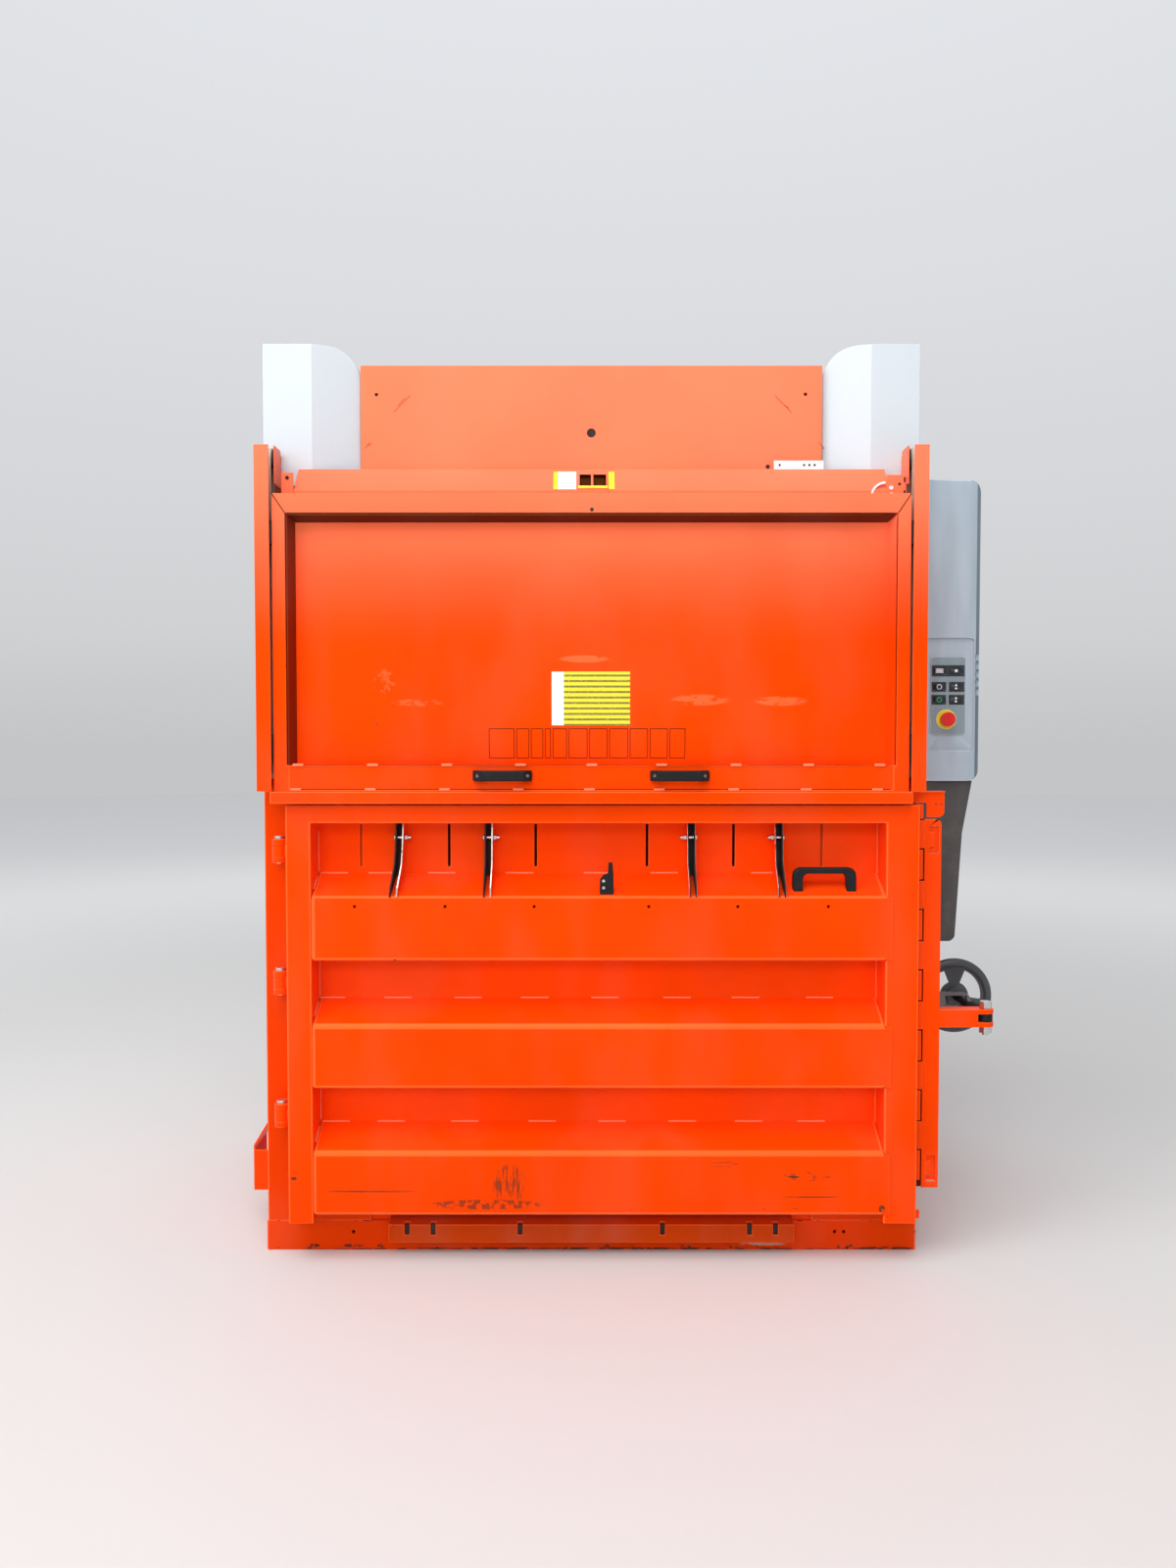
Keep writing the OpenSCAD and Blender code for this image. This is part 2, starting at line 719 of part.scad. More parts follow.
// Folded bracket at the ledge's right end
module switch_bracket() {
    y0 = front_y - 66;
    z1 = hatch_z - 4;
    x0 = ledge_half;
    x1 = 932;
    xs = column_x + 2;
    color(paint) difference() {
        along_y(y0, y0 + 6) polygon(concat([[x0, hatch_z - ledge_h], [x0, z1], [x1, z1]],
            arc([x1 - 16, z1 - 50], 16, 0, -90), [[xs, z1 - 66], [xs, hatch_z - ledge_h]]));
        for (x = [x1 - 22, x1 - 8]) rod_y(x, y0 - 1, y0 + 7, z1 - 32, 3, small);
    }
    color(duct_grey) span([x0, y0 - 8, z1], [x1, y0 + 30, z1 + 3]);
}

// Folded pocket on the left column's foot under a sloped lid, open behind
lug_top_z = 371;
lug_edge_z = 234;
lug_foot_z = 105;
module side_lug() {
    x0 = -column_x;
    x1 = -966;
    y0 = front_y + 150;
    y1 = y0 + 120;
    wall = 5;
    color(paint) difference() {
        along_y(y0, y1) polygon([[x0, lug_top_z], [x1, lug_edge_z], [x1, lug_foot_z],
            [x0, lug_foot_z]]);
        along_y(y0 + wall, y1 + 1) polygon([[x0 - wall, lug_top_z - 17],
            [x1 + wall, lug_edge_z - 3], [x1 + wall, lug_foot_z + wall],
            [x0 - wall, lug_foot_z + wall]]);
        along_y(y0 - 1, y0 + wall + 1) polygon([[x0 - wall, lug_top_z - 17],
            [x1 + wall, lug_edge_z - 3], [x1 + wall, lug_edge_z - 12],
            [x0 - wall, lug_edge_z - 12]]);
    }
}

// Fixed lugs of the door's hinges and of the lock bar
lock_lug_gap = 40;
lock_lug_r = 16;
lock_lug_t = 12;
module hinge_lugs() {
    color(paint) difference() {
        union() {
            for (z = hinge_z, s = [-1, 1]) {
                z0 = s > 0 ? z + knuckle_h / 2 + 0.5 : z - knuckle_h / 2 - 0.5 - lug_h;
                rod_z(hinge_x, hinge_y, z0, z0 + lug_h, knuckle_r);
                span([hinge_x - knuckle_r, hinge_y, z0], [hinge_x + knuckle_r, front_y, z0 + lug_h]);
            }
            for (z = lock_lug_z, s = [-1, 1]) {
                z0 = s > 0 ? z + lock_lug_gap / 2 : z - lock_lug_gap / 2 - lock_lug_t;
                rod_z(lock_x, lock_y, z0, z0 + lock_lug_t, lock_lug_r);
                span([column_x, lock_y, z0], [lock_x + lock_lug_r, front_y + 50, z0 + lock_lug_t]);
            }
        }
        for (z = hinge_z) rod_z(hinge_x, hinge_y, z - 80, z + 80, hinge_pin_r + run_gap);
        for (z = lock_lug_z) rod_z(lock_x, lock_y, z - 40, z + 40, lock_pin_r + run_gap);
    }
}

// One upright pin whose head rests on the upper lug
module headed_pin(x, y, z, half, r, head_r, head_h) {
    rod_z(x, y, z - half - 3, z + half + 1, r);
    rod_z(x, y, z + half, z + half + head_h, head_r);
}

// Headed pins of the door's hinges and of the lock bar
module hinge_pins() {
    color(steel) {
        for (z = hinge_z) headed_pin(hinge_x, hinge_y, z, knuckle_h / 2 + lug_h + 0.5,
            hinge_pin_r, hinge_pin_r + 5, 8);
        for (z = lock_lug_z) headed_pin(lock_x, lock_y, z, lock_lug_gap / 2 + lock_lug_t,
            lock_pin_r, lock_pin_r + 4, 6);
    }
}

// Bracket on the right column that the spindle runs through, slotted for the arm's swing
bracket_half = 28;
module spindle_bracket() {
    t = 14;
    slot_x = [bolt_x - swing_in - spindle_r - 2, bolt_x + spindle_r + 2];
    color(duct_grey) difference() {
        union() {
            along_y(bracket_y, bracket_y + t)
                polygon(concat([[column_x, arm_z - bracket_half]],
                    arc([slot_x[1] - 10, arm_z], 22, -90, 90), [[column_x, arm_z + bracket_half]]));
            span([column_x, bracket_y - 30, arm_z - bracket_half],
                [column_x + 8, bracket_y + 44, arm_z + bracket_half]);
        }
        span([slot_x[0], bracket_y - 1, arm_z - spindle_r - 2],
            [slot_x[1], bracket_y + t + 1, arm_z + spindle_r + 2]);
    }
}

// Endless counterbalance belts inside the posts
module belt_loop(side) {
    r0 = pulley_r + run_gap;
    w = pulley_w - 6;
    x = side * pulley_x;
    difference() {
        along_x(x - w / 2, x + w / 2) polygon(concat(
            arc([pulley_y, pulley_top_z], r0 + belt_t, 0, 180),
            arc([pulley_y, pulley_low_z], r0 + belt_t, 180, 360)));
        along_x(x - w / 2 - 1, x + w / 2 + 1) polygon(concat(
            arc([pulley_y, pulley_top_z], r0, 0, 180), arc([pulley_y, pulley_low_z], r0, 180, 360)));
    }
}
module hatch_belts() {
    color(nylon) for (side = [-1, 1]) belt_loop(side);
}

// One flanged belt pulley with a round hub bore on its axle
module pulley(side, z) {
    x = side * pulley_x;
    color(duct_grey) difference() {
        rod_x(x - pulley_w / 2, x + pulley_w / 2, pulley_y, z, pulley_r - 1, medium);
        rod_x(x - pulley_w / 2 - 1, x + pulley_w / 2 + 1, pulley_y, z, axle_r + run_gap, small);
        for (a = [0:3]) translate([x, pulley_y, z]) rotate([a * 90 + 45, 0, 0])
            rod_x(-pulley_w / 2 - 1, pulley_w / 2 + 1, 0, 15.5, 3, small);
    }
}
module upper_left_pulley() { pulley(-1, pulley_top_z); }
module upper_right_pulley() { pulley(1, pulley_top_z); }
module lower_left_pulley() { pulley(-1, pulley_low_z); }
module lower_right_pulley() { pulley(1, pulley_low_z); }

// Chamber door's frame: skin, two stiles, top rail and the knuckles of its hinges
slit_x = [-620, -383, -150, 150, 383, 620];
module door_frame() {
    wall = 5;
    color(paint) difference() {
        union() {
            span([door_left, skin_y, door_bottom], [door_right, door_back_y, door_top]);
            span([door_left, door_front_y, door_bottom], [beam_left, skin_y, door_top]);
            span([beam_right, door_front_y, door_bottom], [door_right, skin_y, door_top]);
            span([beam_left, door_front_y, door_top - top_rail_h], [beam_right, skin_y, door_top]);
            for (z = hinge_z) {
                rod_z(hinge_x, hinge_y, z - knuckle_h / 2, z + knuckle_h / 2, knuckle_r);
                span([hinge_x, hinge_y - 12, z - knuckle_h / 2],
                    [door_left + 1, hinge_y + 12, z + knuckle_h / 2]);
            }
        }
        for (x = [[door_left, beam_left], [beam_right, door_right]])
            span([x[0] + wall, door_front_y + wall, door_bottom - 1],
                [x[1] - wall, skin_y, door_top - wall]);
        span([beam_left - 1, door_front_y + wall, door_top - top_rail_h + wall],
            [beam_right + 1, skin_y, door_top - wall]);
        for (z = hinge_z) rod_z(hinge_x, hinge_y, z - 80, z + 80, hinge_pin_r + run_gap);
        for (x = slit_x) span([x - 3.5, skin_y - 1, slit_z[0]], [x + 3.5, door_back_y + 1, slit_z[1]]);
    }
}

// Comb on the door's right edge: blocks that leave a notch for each tooth of the lock bar
module door_comb() {
    half = tooth_h / 2 + tooth_gap;
    notch_z = [for (i = [0:tooth_count - 1]) tooth_first_z + i * tooth_pitch];
    block_z0 = concat([door_bottom], [for (z = notch_z) z + half]);
    block_z1 = concat([for (z = notch_z) z - half], [door_top]);
    color(paint) for (i = [0:tooth_count])
        span([door_right, bar_y, block_z0[i]], [door_right + comb_w, bar_y + bar_t, block_z1[i]]);
}

// Hat beams across the door: sloped top, flat face, ends capped over the right stile
module door_beams() {
    y0 = skin_y;
    y1 = beam_front_y;
    color(paint) for (i = [0:beam_count - 1]) {
        z = beam_first_z + i * beam_pitch;
        difference() {
            union() {
                along_x(beam_left, beam_right) polygon([[y0, z], [y1, z],
                    [y1, z + beam_face_h], [y0, z + beam_face_h + beam_slope_h]]);
                span([beam_right - 1, y1, z + 2], [beam_right + beam_lap, door_front_y,
                    z + beam_face_h - 2]);
            }
            along_x(beam_left + beam_t, beam_right - beam_t) polygon([[y0 + 1, z + beam_t],
                [y1 + beam_t, z + beam_t], [y1 + beam_t, z + beam_face_h - beam_t / 2],
                [y0 + 1, z + beam_face_h + beam_slope_h - beam_t]]);
            if (i == beam_count - 1) for (x = slit_x)
                rod_y(x, y1 - 1, y1 + beam_t + 1, z + beam_face_h - 24, 4, small);
        }
    }
}

// Strap guides in the recess above the top beam: two cheeks and a web, bent sideways on the left
guide_w = 22;
guide_t = 4;
guide_z1 = door_top - top_rail_h;
guide_bend = [2000, 0, 0, 0];
guide_bolt_z = guide_z1 - 42;
module guide_side() {
    polygon([[skin_y, guide_z1], [skin_y - 36, guide_z1], [skin_y - 50, guide_z1 - 110],
        [beam_front_y - 2, slope_front_z + 26], [beam_front_y - 2, slope_front_z],
        [beam_front_y, slope_front_z], [skin_y, slope_back_z]]);
}
module guide_band(x, bend, r0, r1) {
    if (bend > 0) {
        difference() {
            translate([x - bend, guide_z1]) circle(r = bend + r1, $fn = 360);
            translate([x - bend, guide_z1]) circle(r = bend + r0, $fn = 360);
        }
    } else {
        translate([x + r0, slope_front_z - 60]) square([r1 - r0, 400]);
    }
}
module strap_guides() {
    h = guide_w / 2;
    color(paint) for (i = [0:3]) difference() {
        intersection() {
            along_x(strap_x[i] - 60, strap_x[i] + 60) guide_side();
            union() {
                along_y(door_front_y - 30, skin_y) guide_band(strap_x[i], guide_bend[i], -h, guide_t - h);
                along_y(door_front_y - 30, skin_y) guide_band(strap_x[i], guide_bend[i], h - guide_t, h);
                along_y(skin_y - 12, skin_y) guide_band(strap_x[i], guide_bend[i], -h, h);
            }
        }
        rod_x(strap_x[i] - 50, strap_x[i] + 50, skin_y - 24, guide_bolt_z, 5 + run_gap, small);
    }
}

// Bolts through the strap guides
module guide_bolts() {
    h = guide_w / 2 + 0.8;
    color(steel) for (i = [0:3])
        translate([strap_x[i], skin_y - 24, guide_bolt_z]) mirror([i < 2 ? 0 : 1, 0, 0]) {
            rod_x(-h - 3, h + 16, 0, 0, 5, small);
            rod_x(-h - 4, -h, 0, 0, 9, 6);
            rod_x(h, h + 8, 0, 0, 9, 6);
        }
}

// Black bridge handle on the top beam's slope
handle_x = [531, 698];
module door_handle() {
    y0 = skin_y - 62;
    z1 = slope_back_z + 22;
    color(black) difference() {
        along_y(y0 - 12, y0 + 12) difference() {
            polygon(round_rect([handle_x[0], slope_front_z - 20], [handle_x[1], z1], 22));
            polygon(round_rect([handle_x[0] + 26, slope_front_z - 60], [handle_x[1] - 26, z1 - 16], 14));
        }
        along_x(handle_x[0] - 1, handle_x[1] + 1) polygon([[skin_y, slope_back_z],
            [beam_front_y, slope_front_z], [beam_front_y, slope_front_z - 80],
            [skin_y, slope_front_z - 80]]);
    }
}

// Black catch plate with its upright finger on the top beam's slope
catch_x = 40;
catch_outline = [[-18, 0], [-18, 46], [-9, 58], [3, 62], [5, 91], [15, 91], [18, 58], [18, 0]];
module door_catch() {
    y0 = door_front_y + 6;
    color(black) difference() {
        union() {
            translate([catch_x, 0, slope_front_z]) along_y(y0, y0 + 6) polygon(catch_outline);
            span([catch_x - 18, y0, slope_front_z], [catch_x + 18, y0 + 26, slope_front_z + 22]);
        }
        along_x(catch_x - 30, catch_x + 30) polygon([[skin_y, slope_back_z],
            [beam_front_y, slope_front_z], [beam_front_y, slope_front_z - 90],
            [skin_y, slope_front_z - 90]]);
        for (z = [24, 42])
            rod_y(catch_x - 8, y0 - 1, y0 + 7, slope_front_z + z, 3, small);
    }
}

// Lock bar with its knuckles and forked arm
module lock_bar() {
    z0 = lock_bar_z;
    z1 = lock_bar_z + lock_bar_h;
    corner = 16;
    knuckle_half = lock_lug_gap / 2 - 0.5;
    window_half = lock_lug_gap / 2 + lock_lug_t + 3;
    color(paint) difference() {
        union() {
            difference() {
                along_y(bar_y, bar_y + bar_t) polygon(concat([[bar_left, z0], [bar_left, z1]],
                    arc([bar_right - corner, z1 - corner], corner, 90, 0), [[bar_right, z0]]));
                for (z = lock_lug_z) span([lock_x - 12, bar_y - 1, z - window_half],
                    [bar_right - 7, bar_y + bar_t + 1, z + window_half]);
            }
            for (z = lock_lug_z) {
                rod_z(lock_x, lock_y, z - knuckle_half, z + knuckle_half, lock_knuckle_r);
                span([bar_left + 2, bar_y + 1, z - knuckle_half],
                    [lock_x, lock_y + 3, z + knuckle_half]);
            }
            translate([0, 0, arm_z - arm_h / 2]) linear_extrude(arm_h)
                polygon(concat([[lock_x - 10, bar_y + 1], [bolt_x, bolt_y - arm_w / 2]],
                    arc([bolt_x, bolt_y], arm_w / 2, -90, 90),
                    [[bar_right, lock_y + 10], [lock_x - 10, lock_y + 10]]));
        }
        for (z = lock_lug_z)
            rod_z(lock_x, lock_y, z - 60, z + 60, lock_pin_r + run_gap);
        span([bolt_x - 26, bolt_y - arm_w, arm_z - eye_h / 2 - 1],
            [bolt_x + arm_w, bolt_y + arm_w, arm_z + eye_h / 2 + 1]);
        rod_z(bolt_x, bolt_y, arm_z - arm_h, arm_z + arm_h, lock_pin_r + run_gap);
    }
}

// Teeth welded to the lock bar's edge, which stand in the comb's notches
tooth_end_gap = 6;
module lock_teeth() {
    color(paint) for (i = [1:tooth_count - 1]) {
        z = tooth_first_z + i * tooth_pitch;
        span([door_right + tooth_end_gap, bar_y, z - tooth_h / 2],
            [bar_left, bar_y + bar_t, z + tooth_h / 2]);
    }
}

// Upright bolt and nut through the arm's fork
module lock_bolt() {
    h = arm_h / 2;
    color(steel) {
        rod_z(bolt_x, bolt_y, arm_z - h - 24, arm_z + h + 1, lock_pin_r);
        rod_z(bolt_x, bolt_y, arm_z + h, arm_z + h + 18, 17, 6);
        rod_z(bolt_x, bolt_y, arm_z - h - 18, arm_z - h, 17, 6);
    }
}

// Spindle with its eye in the fork and its sleeve behind
sleeve_y = [bolt_y + 50, bolt_y + 96];
module lock_spindle() {
    eye_r = 18;
    color(black) difference() {
        union() {
            rod_z(bolt_x, bolt_y, arm_z - eye_h / 2, arm_z + eye_h / 2, eye_r);
            rod_y(bolt_x, bolt_y + 10, wheel_y + 34, arm_z, spindle_r - 2.5, small);
            rod_y(bolt_x, sleeve_y[0], sleeve_y[1], arm_z, spindle_r + 9, small);
        }
        rod_z(bolt_x, bolt_y, arm_z - eye_h, arm_z + eye_h, lock_pin_r + run_gap);
    }
}

// Handwheel with three kidney-shaped windows
module handwheel() {
    rim = 12;
    hub_r = 26;
    t = 8;
    color(duct_grey) translate([bolt_x, wheel_y + 20, arm_z]) rotate([90, 0, 0]) difference() {
        union() {
            cylinder(h = t, r = wheel_r - rim / 2, $fn = fine);
            translate([0, 0, t / 2]) rotate_extrude($fn = fine)
                translate([wheel_r - rim, 0]) circle(r = rim, $fn = 16);
            translate([0, 0, -14]) cylinder(h = 34, r = hub_r, $fn = medium);
        }
        translate([0, 0, -20]) cylinder(h = 60, r = spindle_r - 2.5 + run_gap, $fn = small);
        for (i = [0:2]) rotate([0, 0, i * 120 + 30]) translate([0, 0, -1]) linear_extrude(t + 2)
            polygon(concat(arc([0, 0], wheel_r - 30, -38, 38), arc([0, 0], hub_r + 14, 38, -38)));
    }
}

// Hatch frame: two sides and a top rail with mitred corners, and the stitched bottom strip
module hatch_frame() {
    x1 = hatch_x;
    x0 = hatch_x - hatch_side_w;
    z0 = hatch_z;
    z1 = hatch_top;
    wall = 4;
    color(paint) difference() {
        span([-x1, hatch_front_y, z0], [x1, hatch_back_y, z1]);
        span([-x0, hatch_front_y - 1, z0 + hatch_strip_h], [x0, hatch_back_y + 1, z1 - hatch_top_h]);
        span([-x0 + 6, hatch_front_y - 1, z0 + wall], [x0 - 6, hatch_front_y + 3, z0 + hatch_strip_h]);
        span([-x1 + wall, hatch_front_y + wall + 3, z0 + wall],
            [x1 - wall, hatch_back_y - wall, z0 + hatch_strip_h - wall]);
    }
}

// Recessed hatch panel: a pan with leaning flanges at its sides and top
pan_front_y = hatch_front_y + 2;
pan_back_y = hatch_back_y - 7;
module pan_form(inset, foot) {
    x0 = hatch_x - hatch_side_w - inset;
    z0 = hatch_z + hatch_strip_h - foot;
    z1 = hatch_top - hatch_top_h - inset;
    hull() {
        span([-x0, pan_front_y - foot, z0], [x0, pan_front_y + 6, z1]);
        span([pan_lean - x0, pan_back_y - 0.5, z0],
            [x0 - pan_lean, pan_back_y + panel_t - inset, z1 - pan_lean]);
    }
}
module hatch_panel() {
    color(paint) difference() {
        pan_form(0, 0);
        pan_form(panel_t, 1);
    }
}

// Two black pull handles on the hatch's strip
hatch_handle_x = [-231, 229];
hatch_handle_z = 1300;
module hatch_handles() {
    half = 77;
    face_y = hatch_front_y + 3;
    color(black) for (x = hatch_handle_x) difference() {
        translate([x, 0, hatch_handle_z - 14]) linear_extrude(28)
            polygon([[-half, face_y], [-half, face_y - 9], [-half + 16, face_y - 30],
                [-half + 26, face_y - 34], [half - 26, face_y - 34], [half - 16, face_y - 30],
                [half, face_y - 9], [half, face_y], [half - 26, face_y],
                [half - 34, face_y - 24], [-half + 34, face_y - 24], [-half + 26, face_y]]);
        for (s = [-1, 1]) rod_y(x + s * (half - 12), face_y - 40, face_y - 6, hatch_handle_z, 5, small);
    }
}

// Nylon sliders on the hatch's edges, running in the posts
module hatch_sliders() {
    y0 = hatch_front_y - 10 + post_t + run_gap;
    color(nylon) for (side = [-1, 1], z = [hatch_z + 90, hatch_top - 130]) {
        x = side > 0 ? hatch_x : -hatch_x - 24;
        span([x, y0, z], [x + 24, y0 + 34, z + 60]);
        if (z < hatch_z + 100) span([x, y0 + 33, z + 20], [x + 24, belt_front_y - run_gap, z + 40]);
    }
}

// Press platen: grooved pressing bars, a plate, a skirt and the webs that carry the yoke
web_share = [7 / 30, 2 / 3];
module platen() {
    x1 = wall_x - platen_side_gap;
    y0 = front_y + platen_gap;
    y1 = chamber_back - platen_gap;
    color(steel) difference() {
        union() {
            span([-x1, y0, platen_z], [x1, y1, plate_z + plate_t]);
            difference() {
                span([-x1, y0, plate_z], [x1, y1, plate_z + skirt_h]);
                span([-x1 + plate_t, y0 + plate_t, plate_z + 1],
                    [x1 - plate_t, y1 - plate_t, plate_z + skirt_h + 1]);
            }
            for (side = [-1, 1], share = web_share) {
                x = side * (share * wall_x - plate_t / 2) - plate_t / 2;
                span([x, y0 + plate_t, plate_z], [x + plate_t, y1 - plate_t, plate_z + skirt_h - 50]);
            }
            for (s = [-1, 1])
                span([-x1 + plate_t, cyl_y + s * (yoke_w / 2 - 14) - plate_t / 2, plate_z],
                    [x1 - plate_t, cyl_y + s * (yoke_w / 2 - 14) + plate_t / 2, yoke_z]);
        }
        for (x = strap_x) span([x - groove_w / 2, y0 - 1, platen_z - 1],
            [x + groove_w / 2, y1 + 1, plate_z]);
    }
}

// Hollow beam across the platen, with a bored end over each piston rod
module yoke_beam() {
    wall = 10;
    color(paint) difference() {
        span([-yoke_half, cyl_y - yoke_w / 2, yoke_z], [yoke_half, cyl_y + yoke_w / 2, yoke_top]);
        span([-yoke_half - 1, cyl_y - yoke_w / 2 + wall, yoke_z + wall],
            [yoke_half + 1, cyl_y + yoke_w / 2 - wall, yoke_top - wall]);
        for (side = [-1, 1])
            rod_z(side * cyl_x, cyl_y, yoke_z - 1, yoke_top + 1, stud_r + run_gap, fine);
    }
}

// Piston rods with their pistons, studs and nuts
module piston_rods() {
    color(steel) for (side = [-1, 1]) {
        x = side * cyl_x;
        rod_z(x, cyl_y, piston_z, piston_z + piston_h, bore_r - run_gap, fine);
        rod_z(x, cyl_y, piston_z + 1, yoke_z, rod_r, fine);
        rod_z(x, cyl_y, yoke_z - 1, yoke_top + 30, stud_r, fine);
        rod_z(x, cyl_y, yoke_top, yoke_top + 24, 40, 6);
    }
}

// Guide shoes between the platen's skirt and the side walls
shoe_half = 40;
module guide_shoes() {
    x0 = wall_x - platen_side_gap;
    color(nylon) for (side = [-1, 1], end = [-1, 1]) {
        x = side > 0 ? x0 : -wall_x + run_gap;
        y = cyl_y + end * chamber_d / 4;
        span([x, y - shoe_half, plate_z + 30],
            [x + platen_side_gap - run_gap, y + shoe_half, plate_z + skirt_h - 20]);
    }
}

// Red mushroom of the emergency stop on its stem
module emergency_stop() {
    y0 = panel_front_y - stop_disc_t - stop_travel - 1;
    color("red") union() {
        rod_y(stop_x, y0 - 14, y0, stop_z, 20, medium);
        rod_y(stop_x, y0 - 1, panel_front_y + 10, stop_z, stop_stem_r, small);
    }
}

// One key in its pocket
module key(i, j, tint) {
    x = key_x[i];
    z = key_z[j];
    y0 = panel_front_y - key_proud;
    color(tint) along_y(y0, y0 + key_t)
        polygon(round_rect([x - key_w / 2, z - key_h / 2], [x + key_w / 2, z + key_h / 2], 4));
}
module start_key() { key(0, 2, "green"); }
module stop_key() { key(1, 2, black); }
module raise_key() { key(0, 1, black); }
module lower_key() { key(1, 1, black); }
module mode_key() { key(0, 0, "white"); }
module reset_key() { key(1, 0, black); }

base_frame();
chamber_floor();
left_side_wall();
right_side_wall();
rear_wall();
left_column();
right_column();
top_guard_panel();
left_cylinder_cover();
right_cylinder_cover();
left_hatch_post();
right_hatch_post();
hatch_header();
hatch_ledge();
floor_strap_channel();
left_cylinder_barrel();
right_cylinder_barrel();
oil_tank();
pump_motor();
valve_block();
control_cabinet();
control_panel();
cable_duct();
switch_bracket();
side_lug();
hinge_lugs();
hinge_pins();
spindle_bracket();
hatch_belts();
upper_left_pulley();
upper_right_pulley();
lower_left_pulley();
lower_right_pulley();
door_frame();
door_comb();
door_beams();
strap_guides();
guide_bolts();
door_handle();
door_catch();
lock_bar();
lock_teeth();
lock_bolt();
lock_spindle();
handwheel();
hatch_frame();
hatch_panel();
hatch_handles();
hatch_sliders();
platen();
yoke_beam();
piston_rods();
guide_shoes();
emergency_stop();
start_key();
stop_key();
raise_key();
lower_key();
mode_key();
reset_key();
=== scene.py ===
"""Looks of a mill-size recycling baler: worn orange paint, silver covers and black pulls."""

import contextlib
import json
import math

import bmesh
import bpy
from mathutils import Matrix, Vector

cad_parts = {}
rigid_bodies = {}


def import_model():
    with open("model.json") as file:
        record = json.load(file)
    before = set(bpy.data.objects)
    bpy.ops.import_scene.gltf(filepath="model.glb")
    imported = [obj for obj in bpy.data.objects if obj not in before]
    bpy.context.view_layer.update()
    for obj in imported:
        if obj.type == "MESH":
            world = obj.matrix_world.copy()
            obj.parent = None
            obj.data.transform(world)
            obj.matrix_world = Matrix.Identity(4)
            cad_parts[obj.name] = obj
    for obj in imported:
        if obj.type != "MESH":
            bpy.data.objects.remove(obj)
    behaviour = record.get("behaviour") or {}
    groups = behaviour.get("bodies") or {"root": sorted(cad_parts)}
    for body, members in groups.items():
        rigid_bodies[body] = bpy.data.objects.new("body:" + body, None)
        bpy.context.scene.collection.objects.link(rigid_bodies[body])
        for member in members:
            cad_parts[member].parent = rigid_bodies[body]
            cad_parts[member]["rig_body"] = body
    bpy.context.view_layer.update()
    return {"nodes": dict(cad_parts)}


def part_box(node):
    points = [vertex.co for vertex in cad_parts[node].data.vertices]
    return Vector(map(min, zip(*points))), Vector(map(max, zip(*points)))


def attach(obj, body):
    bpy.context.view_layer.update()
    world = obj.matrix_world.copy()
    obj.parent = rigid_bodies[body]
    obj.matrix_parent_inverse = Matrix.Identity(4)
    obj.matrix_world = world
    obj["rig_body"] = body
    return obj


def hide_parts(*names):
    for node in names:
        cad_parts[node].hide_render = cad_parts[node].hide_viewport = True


bl_info = {
    "name": "Recycling Baler",
    "version": (1, 0, 0),
    "blender": (4, 5, 0),
    "location": "3D View > Sidebar > Baler",
    "description": "Dresses the packed frame of a vertical recycling baler",
    "category": "Object",
}

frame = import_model()


def mm(*values):
    """Millimetres as metres: one number, or a vector of three."""
    return values[0] / 1000 if len(values) == 1 else Vector(values) / 1000


# Sizes and colours a user would change


def colour(label, note, value):
    """A colour property with its default."""
    return bpy.props.FloatVectorProperty(
        name=label, description=note, subtype="COLOR", size=3, min=0, max=1, default=value
    )


def number(label, note, value, **more):
    """A number property with its default."""
    return bpy.props.FloatProperty(name=label, description=note, default=value, **more)


def length(label, note, value):
    """A length property in metres with its default."""
    return number(label, note, value, subtype="DISTANCE", unit="LENGTH", min=0)


def share(label, note, value):
    """A property from 0 to 1 with its default."""
    return number(label, note, value, subtype="FACTOR", min=0, max=1)


class BalerColours(bpy.types.PropertyGroup):
    """Colours of the finishes."""

    paint: colour("Paint", "Enamel of the body", (0.96, 0.052, 0.0))
    chip: colour("Chips", "What shows where the enamel has come off", (0.055, 0.03, 0.022))
    cover: colour("Covers", "Coated sheet over the cylinders", (0.56, 0.61, 0.65))
    cabinet: colour("Cabinet", "Moulded control cabinet", (0.4, 0.49, 0.56))
    duct: colour("Duct", "Moulded duct under the cabinet", (0.062, 0.06, 0.058))
    tank: colour("Tank", "Enamel of the oil tank and motor", (0.11, 0.12, 0.125))
    steel: colour("Steel", "Bare worn steel", (0.33, 0.32, 0.31))
    zinc: colour("Zinc", "Zinc-plated fasteners", (0.6, 0.6, 0.58))
    plastic: colour("Pulls", "Black moulded pulls", (0.012, 0.012, 0.013))
    belt: colour("Belts", "Counterbalance belts", (0.42, 0.38, 0.3))
    nylon: colour("Nylon", "Sliders and guide shoes", (0.68, 0.65, 0.55))
    yellow: colour("Yellow", "Stop collar and the cards", (0.86, 0.7, 0.02))
    red: colour("Stop knob", "Mushroom of the emergency stop", (0.7, 0.012, 0.015))
    green: colour("Start mark", "Ring on the start key", (0.01, 0.4, 0.17))


class BalerWear(bpy.types.PropertyGroup):
    """How worn the finishes are, and how strong the painted sheen high on the body is."""

    chips: share("Chips", "Bare spots on the body's enamel", 0.22)
    scratches: share("Scratches", "Long scratches on the body's enamel", 0.3)
    foot: share("Foot", "Damage along the foot of the machine", 0.8)
    dust: share("Dust", "Dust and haze on the paint", 0.25)
    # Painted reflection: how strongly the enamel high on the body is painted paler and pinker,
    # standing for the sky it reflects.
    fade: share("Fade", "Sun-faded enamel high on the body", 1.0)
    gloss: share("Roughness", "Roughness of sound enamel", 0.33)


